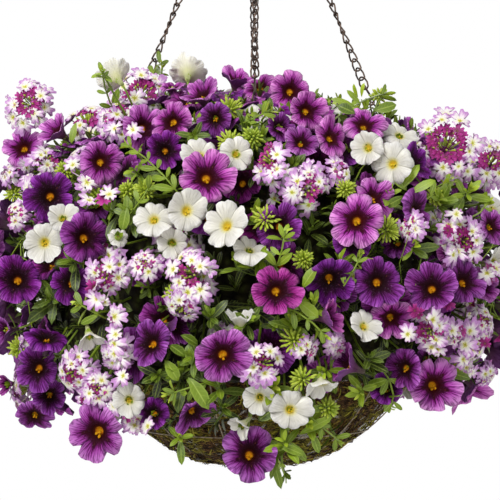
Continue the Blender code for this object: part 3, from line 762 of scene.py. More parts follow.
def addTip(spot, size, facing, toothed=False, count=leaves["perTip"], shade=0.0):
    # a leafy shoot tip: leaves in a loose spiral, the youngest small and upright; shade is painted shade that
    # darkens all its leaves, and painted light where it is below 0
    green = heapFor(spot, "green")
    axes = axesFor(facing, rng.uniform(0, 6.28))
    tip, forward = world(spot), axes[:, 2]
    tone = rng.uniform(0.1, 0.65) - shade
    template = toothedLeaf if toothed else leafForm
    length, width, fold, droops = (leaves["toothed" + key if toothed else key.lower()]
                                   for key in ("Length", "Width", "Fold", "Droop"))
    for step in range(count):
        old = step / count
        turn = step * goldenTurn + rng.normal(0, 0.4)
        lean = radians(leaves["innerLean"] + leaves["leanRange"] * old) + rng.normal(0, 0.25)
        outward = sideways(axes, turn)
        direction = forward * cos(lean) + outward * sin(lean)
        foot = tip - forward * size * (0.15 + 1.1 * old)
        scale = (0.45 + 0.6 * old) * rng.uniform(0.7, 1.2) * size / leaves["tipSize"]
        shape = leafPoints(template, length * scale, width * scale, fold, rng.uniform(*droops),
                           rng.uniform(-leaves["twist"], leaves["twist"]))
        points = placed(shape, alongAxes(direction, forward - outward * 0.2), foot)
        addCopy(green, template, points, tone + (0.5 - shade * 0.4) * (0.6 - old))
    addStem(green, tip - forward * size * 0.2, forward * size * 1.4, rootOf(spot, 0.05), 0.0009, 0.4)


def someRed(middle):
    # how far a flower's colour goes to red-purple
    return float(np.clip(rng.normal(middle, 0.2), 0, 1))


named = []  # across, height and radius of the flowers that are set one by one


def setOut(spots, white):
    for across, height, radius, lift, tone, *turn in spots:
        spot, share = spotSeen(across, height, lift)
        facing = aimed(*turn) + rng.normal(0, 0.08, 3) if turn else defaultFacing(spot)
        sideOn = bool(turn) and (abs(turn[0]) > 45 or abs(turn[1]) > 50)  # seen from the side: more cupped
        tone = min(1.0, tone * 1.7)
        named.append((spot[0], spot[2], radius / 1000 * share))
        if (across, height) == (18, -7):
            hue = 0.95  # the one red-purple flower
        else:
            hue = someRed(0.15) * (0.3 + 0.7 * tone)
        addTrumpet(spot, radius / 1000 * share, facing, tone, hue, white, sideOn, trumpet)


setOut(purpleSpots, False)
setOut(whiteSpots, True)
for across, height, radius, lift, magenta, *turn in verbenaSpots:
    spot, share = spotSeen(across, height, lift)
    facing = aimed(*turn) if turn else defaultFacing(spot, loose=0.15)
    addVerbena(spot, radius / 1000 * share, facing, magenta, floret)
for addHead, spots, settings in ((addBudHead, budSpots, {}), (addTip, leafSpots, {"count": 10})):
    for across, height, size, lift in spots:
        spot, share = spotSeen(across, height, lift)
        addHead(spot, size / 1000, defaultFacing(spot, 0.5), **settings)
for footAcross, footHeight, tipAcross, tipHeight, halfWidth, tone in leafSingles:
    foot, share = spotSeen(footAcross, footHeight, 4)
    tip = foot + np.array((tipAcross - footAcross, -2 + rng.normal(0, 2), tipHeight - footHeight)) / 1000
    length = float(np.linalg.norm(tip - foot))
    shape = leafPoints(leafForm, length, halfWidth / 1000, 0.3, 0.1, rng.uniform(-0.3, 0.3))
    axes = alongAxes(tip - foot, unit(eye - world(tip)) + rng.normal(0, 0.2, 3) + upward * 0.3)
    addCopy(heapFor(foot, "green"), leafForm, placed(shape, axes, world(foot)), tone - 0.12)


def addShoot(first, last, lift, count):
    # a thin stem with pairs of leaves, ending in a small tip
    start, end = world(spotSeen(*first, lift - 12)[0]), world(spotSeen(*last, lift)[0])
    towards = unit(eye - end)
    bend = (start + end) / 2 + towards * 0.010 + rng.normal(0, 0.006, 3)
    green = heapFor(end - upward * rimZ, "green")
    addCopy(green, stalk, stalkPoints(start, bend, end, 0.0007), 0.5)
    along = unit(end - start)
    aside = np.cross(along, towards)
    tone = rng.uniform(0.35, 0.65)
    for step in range(count):
        share = (step + 0.6) / count
        foot = onCurve(start, bend, end, share)
        for hand in (-1, 1):
            direction = along * rng.uniform(0.3, 1.3) + aside * hand * 0.8 + towards * rng.uniform(-0.6, 0.6)
            scale = rng.uniform(0.35, 0.75) * (1.15 - 0.4 * share)
            shape = leafPoints(leafForm, leaves["length"] * scale, leaves["width"] * scale, leaves["fold"],
                               rng.uniform(0, 0.3))
            addCopy(green, leafForm, placed(shape, alongAxes(direction, towards), foot), tone)
    # painted light: the tip at the end of each shoot is given lighter leaves
    addTip(end - upward * rimZ, 0.010, along + towards * 0.4, count=6, shade=-0.25)


for acrossStart, heightStart, acrossEnd, heightEnd, lift, count in shootSpots:
    addShoot((acrossStart, heightStart), (acrossEnd, heightEnd), lift, count)
print("front set out")


def evenSpots(count, start=0.0):
    # even places over the whole planting, counted by area from the skirt to the crown
    level = np.linspace(planting["heights"][0] * 0.8, planting["heights"][-1] - 0.001, 400)
    radius = np.interp(level, planting["heights"], planting["radii"])
    strip = np.hypot(np.gradient(level), np.gradient(radius)) * radius
    total = np.cumsum(strip) / strip.sum()
    for step in range(count):
        azimuth = (start + step * goldenTurn) % (2 * pi)
        height = float(np.interp((step + 0.5) / count, total, level))
        if height < 0:
            height *= skirtShare(azimuth)
        yield azimuth, height


def frontShare(azimuth, height):
    # 1 where the planting faces the camera, 0 at its sides and less round the back
    return -sin(azimuth) * (1.0 if height < 0.12 else 0.8)


fill = dict(
    flowers=320, unevenness=0.005, frontFrom=0.12, highFrontFrom=-0.1, highFrom=0.13,
    gapShare=0.38, frontDepth=0.027, lowestFlower=-0.06, whiteShare=0.22, whiteShareInWhite=0.62,
    verbenaShare=0.14, frontVerbenaShare=0.32, budShare=0.05,
    whiteRadius=(0.013, 0.016), purpleRadius=(0.0155, 0.0205),
    crownFlowers=74, crownTips=130, crownDepth=0.014, crownRadius=0.135, crownBack=0.022, crownFrom=0.115,
    crownTo=-0.45, backDrop=0.010, backDepth=0.006,
    shoulderFlowers=26, shoulderTips=56, shoulderDepths=(0.012, 0.016),
    tips=640, lowestTip=-0.070, highTip=0.085, tipDepths=(0.004, 0.030), frontTipDepths=(0.010, 0.034),
    highTipDepths=(0.006, 0.016), clearDepth=0.030,
    stems=280, stemLevels=(-0.05, 0.11), stemLengths=(0.02, 0.042),
)
for azimuth, height in evenSpots(fill["flowers"], 0.7):
    front = frontShare(azimuth, height)
    inFront = front > fill["frontFrom" if height < fill["highFrom"] else "highFrontFrom"]
    reach = plantingRadius(height, azimuth) + rng.normal(-0.001, fill["unevenness"])
    if height > fill["crownFrom"]:
        # the crown has flowers of its own, and round the back these sit a little lower
        if front > fill["crownTo"]:
            continue
        height -= fill["backDrop"]
        reach -= fill["backDepth"]
    if inFront:
        # behind the flowers that are set one by one
        if height < fill["lowestFlower"]:
            continue
        reach -= fill["frontDepth"]
    spot = onRing(azimuth, reach, height + rng.normal(0, 0.003))
    facing = outwardNormal(*spot) + upward * 0.25 + rng.normal(0, 0.26, 3)
    sector = sectorOf(*spot)
    pick = rng.random()
    if inFront:
        if rng.random() < fill["gapShare"]:
            continue
        pick = 0.0 if rng.random() < fill["frontVerbenaShare"] else 1.0
    elif sector.startswith("verbena"):
        pick = pick * 0.6
    if pick < fill["verbenaShare"]:
        addVerbena(spot, rng.uniform(0.016, 0.024), facing, rng.uniform(0.2, 0.6))
    elif pick < fill["verbenaShare"] + fill["budShare"]:
        addBudHead(spot, rng.uniform(0.009, 0.011), facing)
    else:
        whiteShare = fill["whiteShareInWhite" if sector.startswith("white") else "whiteShare"]
        white = frontShare(azimuth, height) < -0.25 and rng.random() < whiteShare
        radius = rng.uniform(*fill["whiteRadius" if white else "purpleRadius"])
        # painted shade: the flowers set deep behind the front ones get only dark tones
        tone = rng.random() * 0.25 if inFront else rng.random()
        addTrumpet(spot, radius, facing, tone, someRed(0.25), white)


def crownSpots(count, start):
    # places on the crown, which lie a little below its ridge
    for step in range(count):
        azimuth, out = start + step * goldenTurn, sqrt((step + 0.5) / count) * fill["crownRadius"]
        x, y = cos(azimuth) * out, sin(azimuth) * out * 0.95 + fill["crownBack"]
        level = float(np.interp(hypot(x, y), planting["radii"][:4:-1], planting["heights"][:4:-1]))
        yield step, np.array((x, y, level - fill["crownDepth"] - max(0.0, x) * 0.12))


def shoulderSpots(count, depth):
    # places on the front of the shoulder, which is seen from above
    for step in range(count):
        azimuth = -radians(8 + 164 * ((step * 0.618) % 1))
        height = 0.104 + 0.044 * ((step * 0.382 + 0.3) % 1)
        place = onRing(azimuth, plantingRadius(height, azimuth), height)
        yield step, place - outwardNormal(*place) * depth


for step, spot in shoulderSpots(fill["shoulderTips"], fill["shoulderDepths"][0]):
    addTip(spot, rng.uniform(0.012, 0.016), (spot[0] * 3, spot[1] * 3, 1.0))
for step, spot in shoulderSpots(fill["shoulderFlowers"], fill["shoulderDepths"][1]):
    facing = np.array((spot[0] * 3, spot[1] * 3, 0.8)) + rng.normal(0, 0.12, 3)
    addTrumpet(spot, rng.uniform(0.013, 0.016), facing, rng.random() * 0.5, rng.random() * 0.5, step % 5 == 2)
for step, spot in crownSpots(fill["crownTips"], 0.9):
    addTip(spot + rng.normal(0, 0.003, 3), rng.uniform(0.013, 0.018), (spot[0] * 4, spot[1] * 4, 1.0))
for step, spot in crownSpots(fill["crownFlowers"], 0.0):
    facing = np.array((spot[0] * 3, spot[1] * 3, 1.0)) + rng.normal(0, 0.12, 3)
    if step % 4 == 3:
        addVerbena(spot, 0.019, facing, rng.uniform(0.2, 0.6))
    else:
        white = step % 4 == 1 and spot[1] > 0.02
        addTrumpet(spot, rng.uniform(0.014, 0.018), facing, rng.random(), rng.random() * 0.5, white)
namedSpots = np.array(named)
for azimuth, height in evenSpots(fill["tips"], 2.1):
    front = frontShare(azimuth, height)
    verbenaHere = sectorOf(*onRing(azimuth, 1.0, 0.0)).startswith("verbena")
    toothed = verbenaHere and rng.random() < 0.3 and height < 0.09
    if height < fill["lowestTip"] and front > 0.25 and rng.random() < 0.93:
        continue
    depth = rng.uniform(*fill["frontTipDepths" if front > 0.1 else "tipDepths"])
    if height > fill["highTip"] and front < 0:
        depth = rng.uniform(*fill["highTipDepths"])
    spot = onRing(azimuth, plantingRadius(height, azimuth), height)
    normal = outwardNormal(*spot)
    spot = spot - normal * depth
    # keeps clear of the throats of the flowers in front
    if spot[1] < 0 and (np.hypot(*(namedSpots[:, :2] - spot[::2]).T) < namedSpots[:, 2] * 0.75).any():
        spot = spot - normal * max(0.0, fill["clearDepth"] - depth)
    facing = normal + upward * 0.35 + rng.normal(0, 0.3, 3)
    # painted shade and light: the deeper a tip sits in the planting the darker its leaves, the shallowest are
    # lighter, and high tips are all a little darker
    shade = 0.1 if height > fill["highTip"] else (depth - 0.008) / 0.028
    addTip(spot, rng.uniform(0.012, 0.019), facing, toothed, shade=shade)
# thin stems that cross in the gaps
for azimuth, height in evenSpots(fill["stems"], 1.3):
    if height < fill["stemLevels"][0] or height > fill["stemLevels"][1]:
        continue
    place = onRing(azimuth, plantingRadius(height, azimuth), height)
    normal = outwardNormal(*place)
    start = world(place - normal * rng.uniform(0.012, 0.03))
    along = np.cross(normal, rng.normal(0, 1, 3)) + normal * rng.uniform(-0.1, 0.4)
    end = start + unit(along) * rng.uniform(*fill["stemLengths"])
    bend = (start + end) / 2 + rng.normal(0, 0.007, 3)
    points = stalkPoints(start, bend, end, rng.uniform(0.0004, 0.0007), strand)
    addCopy(heapFor(place, "green"), strand, points, rng.uniform(0.2, 0.8))
for acrossStart, heightStart, acrossEnd, heightEnd, lift, count, spread in spraySpots:
    for step in range(count):
        part = (step + 0.5) / count
        across = acrossStart + (acrossEnd - acrossStart) * part + rng.normal(0, spread)
        height = heightStart + (heightEnd - heightStart) * part + rng.normal(0, spread)
        spot, share = spotSeen(across, height, lift + rng.uniform(-2, 4))
        facing = unit(defaultFacing(spot, loose=0.5))
        magenta = rng.random() < 0.3
        size = florets["radius"] * (0.58 if magenta else 0.92) * rng.uniform(0.9, 1.1)
        tone = rng.uniform(0.75, 1.0) if magenta else rng.uniform(0.0, 0.1)
        place, heap = world(spot), heapFor(spot, "verbena")
        base = place - facing * 0.012 + upward * 0.003
        addFloret(heap, floret, place, facing, rng.normal(0, 0.6, 3), size, tone, base)
print("sides, back and leaves set out")


def growthParts(add):
    # u runs round a flower or a leaf, v from its heart outwards; past 1 is the back
    u = add("SeparateXYZ", add("UVMap", uv_map="growth"))
    tone, hue = (add("Attribute", attribute_name=name, output="Fac") for name in ("tone", "hue"))
    return u, u.node.outputs[1], tone, hue


def fineVeins(add, parts, around, outwards, low, high):
    # streaks that run outwards: many across, long along
    scaled = [add("Math MULTIPLY", part, times) for part, times in zip(parts, (around, outwards, 37.0))]
    return add("MapRange", add("TexNoise", add("CombineXYZ", *scaled), Scale=1.0, Detail=2.0), low, high)


def lobeWave(add, u):
    # 1 along the middle of each of the five lobes, -1 where two of them meet
    return add("Math COSINE", add("Math MULTIPLY", u, 10 * pi))


def paintedLobeShade(add, u, outside, colour, low, high, line, strength):
    # painted shade: each lobe runs from darker on one side to lighter on the other, as if it lay under the
    # next one, with a painted shadow line where two lobes meet
    side = add("Math FRACT", add("Math MULTIPLY_ADD", u, 5.0, 0.5))
    level = add("Math SUBTRACT", add("MapRange", side, 0.0, 1.0, low, high), 1.0)
    level = add("Math MULTIPLY_ADD", level, outside, 1.0)
    shaded = add("VectorMath MULTIPLY", colour, add("CombineXYZ", level, level, level))
    seamShadow = add("MapRange", lobeWave(add, u), -0.955, -1.0, 0.0, strength)
    return add("MixRGB", add("Math MULTIPLY", seamShadow, outside), shaded, line)


def makePurplePetal():
    # calibrachoa petal: thin, soft and velvety, with fine dark veins and a near-black star round the throat
    material, add = startMaterial("purplePetal")
    u, v, tone, hue = growthParts(add)
    arm = add("Math POWER", add("Math MULTIPLY_ADD", lobeWave(add, u), 0.5, 0.5), 7.0)
    outside = add("MapRange", v, 0.24, 0.42)
    veins = fineVeins(add, (u, v, tone), 120.0, 3.0, 0.46, 0.62)
    pull = add("Math MULTIPLY_ADD", arm, 0.17, add("Math MULTIPLY", veins, 0.13))
    reach = add("Math SUBTRACT", v, add("Math MULTIPLY", pull, outside))
    # the dark and light ramps step up to a lighter last stop at the very rim: a painted highlight along the
    # edge
    dark = add("ValToRGB", reach, stops=(
        (0.0, "#ffb81c"), (0.10, "#e8921a"), (0.15, "#3a120a"), (0.21, "#160406"), (0.40, "#1c040e"),
        (0.50, "#420a46"), (0.64, "#641674"), (0.84, "#86349e"), (0.96, "#a050b2"), (1.0, "#b876c6")))
    light = add("ValToRGB", reach, stops=(
        (0.0, "#ffc820"), (0.10, "#f0a01c"), (0.15, "#5a1a10"), (0.21, "#38070c"), (0.34, "#480a2a"),
        (0.43, "#962a8e"), (0.57, "#c45ac0"), (0.82, "#e292dc"), (0.96, "#eaa4e4"), (1.0, "#efb8ea")))
    magenta = add("ValToRGB", reach, stops=(
        (0.0, "#ffc820"), (0.10, "#f0a01c"), (0.15, "#4a140c"), (0.21, "#240507"), (0.38, "#300512"),
        (0.47, "#70084e"), (0.62, "#9c1a7e"), (0.84, "#b43698"), (0.97, "#c456ac")))
    colour = add("MixRGB", tone, dark, light)
    colour = add("MixRGB", add("Math MULTIPLY", hue, 0.9), colour, magenta)
    # painted glints: small light specks standing for light caught by the hairs of the petal
    glintNoise = add("TexNoise", add("TexCoord", output="Object"), Scale=900.0, Detail=1.0)
    paintedGlints = add("Math MULTIPLY", add("MapRange", glintNoise, 0.58, 0.80, 0.0, 0.16), outside)
    colour = add("MixRGB", paintedGlints, colour, "#c48ad0")
    lines = add("Math MULTIPLY", veins, add("Math MULTIPLY", outside, 0.55))
    colour = add("MixRGB", lines, colour, "#3a0836")
    colour = paintedLobeShade(add, u, outside, colour, 0.78, 1.2, "#20041e", 0.75)
    back = add("ValToRGB", add("Math SUBTRACT", v, 1.0), stops=(
        (0.0, "#8c4a9c"), (0.25, "#8f5a98"), (0.5, "#84507e"), (0.7, "#6d4a58"), (0.95, "#7d8450")))
    back = add("MixRGB", add("Math MULTIPLY", veins, 0.5), back, "#521c56")
    deep = add("Math MULTIPLY", add("Math SUBTRACT", 1.0, tone), 0.6)
    back = add("MixRGB", deep, back, "#481650")
    return finishMaterial(
        material, Base_Color=add("MixRGB", add("Math GREATER_THAN", v, 1.02), colour, back),
        Normal=add("Bump", Height=veins, Strength=0.8, Distance=0.0004), Roughness=0.58,
        Specular_IOR_Level=0.07, Subsurface_Weight=0.12, Subsurface_Radius=(0.004, 0.0015, 0.004))


def makeWhitePetal():
    # white calibrachoa petal: soft and matte, grey streaks that are faint veins and painted shade in the
    # creases, yellow throat, cream-green tube behind
    material, add = startMaterial("whitePetal")
    u, v, tone, hue = growthParts(add)
    veins = fineVeins(add, (u, v, tone), 110.0, 2.2, 0.42, 0.70)
    front = add("ValToRGB", v, stops=(
        (0.0, "#ffdc20"), (0.11, "#fad420"), (0.17, "#ecd448"), (0.25, "#e6e0a8"), (0.36, "#e9e6d8"),
        (0.8, "#efece5"), (1.0, "#f2f0eb")))
    # grey streaks: faint veins, and painted shade in the creases
    front = add("MixRGB", add("Math MULTIPLY", veins, 0.30), front, "#a8a398")
    front = paintedLobeShade(add, u, add("MapRange", v, 0.2, 0.45), front, 0.84, 1.06, "#8f8a78", 0.65)
    back = add("ValToRGB", add("Math SUBTRACT", v, 1.0), stops=(
        (0.0, "#f8f6f0"), (0.4, "#f0eddc"), (0.65, "#dcdba8"), (0.95, "#a9b36a")))
    back = add("MixRGB", add("Math MULTIPLY", veins, 0.3), back, "#b9b394")
    return finishMaterial(
        material, Base_Color=add("MixRGB", add("Math GREATER_THAN", v, 1.02), front, back),
        Normal=add("Bump", Height=veins, Strength=0.8, Distance=0.0005), Roughness=0.6,
        Specular_IOR_Level=0.3, Subsurface_Weight=0.7, Subsurface_Radius=(0.005, 0.005, 0.0045))


def makeVerbenaPetal():
    # verbena petal: thin and matte, white with a lilac edge or all magenta, with a yellow-green eye
    material, add = startMaterial("verbenaPetal")
    u, v, tone, hue = growthParts(add)
    streaks = fineVeins(add, (u, v, tone), 40.0, 2.0, 0.35, 0.7)
    pull = add("Math MULTIPLY", add("Math SUBTRACT", streaks, 0.5), 0.26)
    reach = add("Math ADD", v, pull)
    white = add("ValToRGB", add("Math MULTIPLY_ADD", hue, 0.28, reach), stops=(
        (0.0, "#a8a41e"), (0.14, "#c8c44a"), (0.22, "#ebe7a8"), (0.34, "#f4efdf"), (0.66, "#f5eef0"),
        (0.82, "#e6c6e2"), (0.98, "#cc98d0"), (1.0, "#c68fcb")))
    magenta = add("ValToRGB", reach, stops=(
        (0.0, "#8d7a1e"), (0.10, "#601040"), (0.3, "#86175f"), (0.7, "#a82580"), (1.0, "#bc469c")))
    outside = add("MapRange", v, 0.35, 0.7)
    white = paintedLobeShade(add, u, outside, white, 0.90, 1.05, "#94659c", 0.6)
    magenta = paintedLobeShade(add, u, outside, magenta, 0.8, 1.2, "#4a0c3c", 0.6)
    colour = add("MixRGB", add("MapRange", tone, 0.15, 0.8), white, magenta)
    behind = add("Math MULTIPLY", add("Math GREATER_THAN", v, 1.25), 0.6)
    return finishMaterial(
        material, Base_Color=add("MixRGB", behind, colour, "#c9a3d2"), Roughness=0.6, Specular_IOR_Level=0.3,
        Subsurface_Weight=0.15, Subsurface_Radius=(0.003, 0.002, 0.003),
        Normal=add("Bump", Height=streaks, Strength=0.8, Distance=0.0002))


def makeLeafGreen():
    # soft leaf: slightly glossy skin, pale midrib and side veins, young leaves lighter
    material, add = startMaterial("softLeaf")
    u, v, tone, hue = growthParts(add)
    half = add("Math FRACT", add("Math MULTIPLY", u, 2.0))
    across = add("Math ABSOLUTE", add("Math SUBTRACT", half, 0.5))
    across = add("Math MULTIPLY", across, 2.0)
    slant = add("Math MULTIPLY_ADD", v, 46.0, add("Math MULTIPLY", across, -7.0))
    sides = add("MapRange", add("Math SINE", slant), 0.75, 1.0, 0.0, 0.22)
    veins = add("Math MAXIMUM", add("MapRange", across, 0.16, 0.03, 0.0, 0.6), sides)
    noise = add("TexNoise", add("TexCoord", output="Object"), Scale=60.0, Detail=3.0)
    # tone brings the lighter young leaves, and the painted shade and light given to each tip by how deep it
    # sits
    shade = add("Math MULTIPLY_ADD", add("Math SUBTRACT", noise, 0.42), 0.7, tone)
    colour = add("ValToRGB", shade, stops=(
        (0.0, "#151b06"), (0.15, "#313f0c"), (0.36, "#506712"), (0.62, "#768e17"), (0.86, "#a0b824"),
        (1.0, "#bdce3c")))
    downyEdge = add("MapRange", across, 0.72, 1.0, 0.0, 0.4)
    colour = add("MixRGB", add("Math MAXIMUM", veins, downyEdge), colour, "#a9bc54")
    colour = add("MixRGB", add("Math MULTIPLY", hue, 0.6), colour, "#7d5a86")
    height = add("Math SUBTRACT", noise, veins)
    return finishMaterial(
        material, Base_Color=colour, Roughness=0.42, Specular_IOR_Level=0.4,
        Normal=add("Bump", Height=height, Strength=0.5, Distance=0.0003),
        Subsurface_Weight=0.08, Subsurface_Radius=(0.0015, 0.003, 0.0008))


finishes = dict(
    purple=(makePurplePetal(), "purple_petals", "purple_flowers_"),
    white=(makeWhitePetal(), "white_petals", "white_flowers_"),
    verbena=(makeVerbenaPetal(), "verbena_petals", "verbena_heads_"),
    green=(makeLeafGreen(), "foliage", "leaves_and_stems_"),
)
for (sector, kind), heap in sorted(heaps.items()):
    material, slot, pieceName = finishes[kind]
    place = dict(zip(planting["sectors"], planting["places"])).get(sector, "centre")
    finishPiece(pieceFromHeap(heap, pieceName + place), material, slot, sector)
print("flowers and leaves made:", sum(len(heap["points"]) for heap in heaps.values()), "copies")

# the middle of the planting, seen only between the flowers: a lumpy shell painted dark, which stands for the
# inner leaves and for the deep shade among them
middle = dict(depth=0.040, rows=28, around=64, lowest=-0.07, lump=0.018, lumpHeight=0.016)


def makeMiddle():
    bpy.ops.mesh.primitive_uv_sphere_add(segments=middle["around"], ring_count=middle["rows"], radius=1.0,
                                         location=(0, 0, 0))
    piece = bpy.context.object
    piece.name = "inner_leaves_painted_shade"
    low, high = planting["heights"][0] * 0.62, planting["heights"][-1] - 0.048
    for vertex in piece.data.vertices:
        x, y, z = vertex.co
        level = low + (high - low) * (z + 1) / 2
        azimuth = atan2(y, x)
        radius = max(0.0, plantingRadius(level, azimuth) - middle["depth"]) if abs(z) < 0.999 else 0.0
        vertex.co = onRing(azimuth, radius, rimZ + max(level, middle["lowest"]))
    addLumps(piece, "leafyLumps", middle["lump"], middle["lumpHeight"])
    applyModifiers(piece, smooth=False)
    return piece


def makePaintedShadeGreen():
    # crowded inner leaves and stems, painted dark for the deep shade among them: matte, broken up by
    # leaf-sized patches of 8 mm, darkest between the patches
    material, add = startMaterial("innerLeafPaintedShade")
    patch = add("TexVoronoi", add("TexCoord", output="Object"), Scale=125.0, output="Distance")
    colour = add("ValToRGB", patch, stops=((0.0, "#47541e"), (0.35, "#2c2a12"), (0.8, "#0e0a06")))
    return finishMaterial(material, Base_Color=colour, Roughness=0.8, Specular_IOR_Level=0.15,
                          Normal=add("Bump", Height=patch, Strength=1.0, Distance=-0.006))


finishPiece(makeMiddle(), makePaintedShadeGreen(), "foliage", planting["centre"])
bowl = dict(
    mossOuter=0.1496, mossWall=0.0116, mossLip=0.004, mossFoot=-0.1462, mossSunk=0.0012, tuft=0.006,
    tuftHeight=0.0035, filmRadius=0.1499, filmFoot=-0.1467, filmWall=0.00012, crinkle=0.00022,
    footBulge=0.0034, fibreCount=3800, fibreLength=0.012, fibreWidth=0.00045, fibreProud=0.0018,
    fibreSunk=0.0020,
)


def footBulge(level):
    # how much further out the lining stands, as a factor, where it sags onto the round foot of the bowl
    part = smoothStep(min(1.0, max(0.0, (-level / bowl["mossOuter"] - 0.72) / 0.2)))
    return 1 + part * bowl["footBulge"] / bowl["mossOuter"]


def cutAt(piece, level, keepLow=True, fill=False):
    bpy.context.view_layer.objects.active = piece
    piece.select_set(True)
    bpy.ops.object.mode_set(mode="EDIT")
    bpy.ops.mesh.select_all(action="SELECT")
    bpy.ops.mesh.bisect(plane_co=(0, 0, level), plane_no=(0, 0, 1), clear_outer=keepLow,
                        clear_inner=not keepLow, use_fill=fill)
    bpy.ops.object.mode_set(mode="OBJECT")
    piece.select_set(False)


def openBowl(name, segments, rows, radius, lip):
    bpy.ops.mesh.primitive_uv_sphere_add(segments=segments, ring_count=rows, radius=radius,
                                         location=(0, 0, 0))
    piece = bpy.context.object
    piece.name = name
    cutAt(piece, lip)
    return piece


def makeMoss():
    piece = openBowl("moss_lining", 160, 90, bowl["mossOuter"] - bowl["mossSunk"], bowl["mossLip"])
    for vertex in piece.data.vertices:
        vertex.co = vertex.co * footBulge(vertex.co.z)
        vertex.co.z = max(vertex.co.z, bowl["mossFoot"])
    addWall(piece, bowl["mossWall"])
    addLumps(piece, "mossTufts", bowl["tuft"], bowl["tuftHeight"], depth=3, level=0.75)
    applyModifiers(piece)
    piece.data.transform(Matrix.Translation((0, 0, rimZ)))
    return piece


def makeMossFinish():
    # dried sphagnum moss: matte, tangled, brown with olive and straw strands a few millimetres long
    material, add = startMaterial("sphagnumMoss")
    place = add("TexCoord", output="Object")
    stretched = add("Mapping", place, Scale=(1.0, 1.0, 2.2))
    tangle = add("TexNoise", stretched, Scale=170.0, Detail=6.0, Roughness=0.7, Distortion=2.0)
    patch = add("TexNoise", place, Scale=38.0, Detail=3.0)
    # the near-black low end of both tangle ramps is painted shade in the gaps between the strands
    brown = add("ValToRGB", tangle, stops=(
        (0.34, "#0a0503"), (0.45, "#201208"), (0.53, "#4c3114"), (0.61, "#7e5a28"), (0.70, "#ac8a4a")))
    olive = add("ValToRGB", tangle, stops=(
        (0.34, "#0f0b03"), (0.45, "#2e2a08"), (0.53, "#63590e"), (0.61, "#918a1e"), (0.70, "#b8b04c")))
    low = add("MapRange", add("SeparateXYZ", place, output=2), rimZ - 0.09, rimZ - 0.14, -0.04, 0.08)
    share = add("MapRange", add("Math ADD", patch, low), 0.5, 0.6)
    return finishMaterial(
        material, Base_Color=add("MixRGB", share, brown, olive), Roughness=0.9, Specular_IOR_Level=0.15,
        Normal=add("Bump", Height=tangle, Strength=1.0, Distance=0.003))


def makeFibres():
    heap = newHeap()
    outer = bowl["mossOuter"]
    proud = outer + bowl["fibreProud"]
    for step in range(bowl["fibreCount"]):
        height = rng.uniform(-0.96, 0.02) * outer
        normal = onRing(rng.uniform(0, 2 * pi), sqrt(max(0.0, outer ** 2 - height ** 2)), height) / outer
        across = unit(np.cross(normal, rng.normal(0, 1, 3)))
        foot = normal * (outer - bowl["fibreSunk"])
        length = bowl["fibreLength"] * rng.uniform(0.4, 1.0)
        bend = foot + across * length * 0.5 + normal * rng.uniform(0.0010, 0.0035)
        end = foot + across * length + np.cross(normal, across) * rng.normal(0, 0.003) - normal * 0.0006
        points = stalkPoints(foot, bend, end, bowl["fibreWidth"] * rng.uniform(0.6, 1.3), strand)
        inside = np.minimum(1.0, proud / np.linalg.norm(points, axis=1))[:, None]
        points = points * inside * footBulge(foot[2])
        points[:, 2] = np.maximum(points[:, 2], bowl["mossFoot"] - bowl["fibreProud"]) + rimZ
        addCopy(heap, strand, points, rng.random())
    return pieceFromHeap(heap, "moss_strands")


def makeStrandFinish():
    # single moss strands: straw, olive and brown, matte
    material, add = startMaterial("mossStrand")
    colour = add("ValToRGB", add("Attribute", attribute_name="tone", output="Fac"), stops=(
        (0.0, "#0e0704"), (0.35, "#2e1c0c"), (0.6, "#5a4418"), (0.78, "#7c761c"), (0.92, "#a39a34"),
        (1.0, "#bda468")))
    return finishMaterial(material, Base_Color=colour, Roughness=0.85, Specular_IOR_Level=0.2)


def makeFilm():
    piece = openBowl("clear_film_sheet", 96, 60, bowl["filmRadius"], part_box("clear_film")[1].z - rimZ)
    for vertex in piece.data.vertices:
        x, y, z = vertex.co
        azimuth = atan2(y, x)
        crinkle = (sin(azimuth * 23 + z * 210) + sin(azimuth * 41 - z * 330 + 1.7)) * bowl["crinkle"]
        bulge = footBulge(z)
        pinch = (1 - max(0.0, 0.0004 - crinkle) / bowl["filmRadius"]) * bulge
        vertex.co = (x * pinch, y * pinch, max(z * bulge, bowl["filmFoot"]) + rimZ)
    addWall(piece, bowl["filmWall"])
    applyModifiers(piece)
    return piece


def makeFilmFinish():
    # thin polythene film: clear and shiny face on, greyish white where it is seen edge on or creased
    material, add = startMaterial("polytheneFilm")
    creases = add("TexNoise", add("TexCoord", output="Object"), Scale=34.0, Detail=4.0, Distortion=3.0)
    cover = add("MapRange", add("LayerWeight", Blend=0.35, output="Facing"), 0.9, 1.0, 0.0, 0.2)
    ridge = add("MapRange", creases, 0.60, 0.66, 0.0, 0.2)
    return finishMaterial(material, Base_Color="#b4b0a6", Roughness=0.12, IOR=1.5,
                          Alpha=add("Math ADD", cover, ridge),
                          Normal=add("Bump", Height=creases, Strength=0.6, Distance=0.004))


finishPiece(makeMoss(), makeMossFinish(), "sphagnum_moss", "moss_liner")
finishPiece(makeFibres(), makeStrandFinish(), "sphagnum_moss", "moss_liner")
finishPiece(makeFilm(), makeFilmFinish(), "clear_film", "clear_film")


def makeSoilFinish():
    # potting soil: dark, damp and crumbly, grains of 2 to 3 mm
    material, add = startMaterial("pottingSoil")
    grain = add("TexNoise", add("TexCoord", output="Object"), Scale=420.0, Detail=5.0)
    colour = add("ValToRGB", grain, stops=((0.3, "#0f0a07"), (0.55, "#2a1d13"), (0.8, "#54402c")))
    return finishMaterial(material, Base_Color=colour, Roughness=0.95, Specular_IOR_Level=0.2,
                          Normal=add("Bump", Height=grain, Strength=1.0, Distance=0.002))


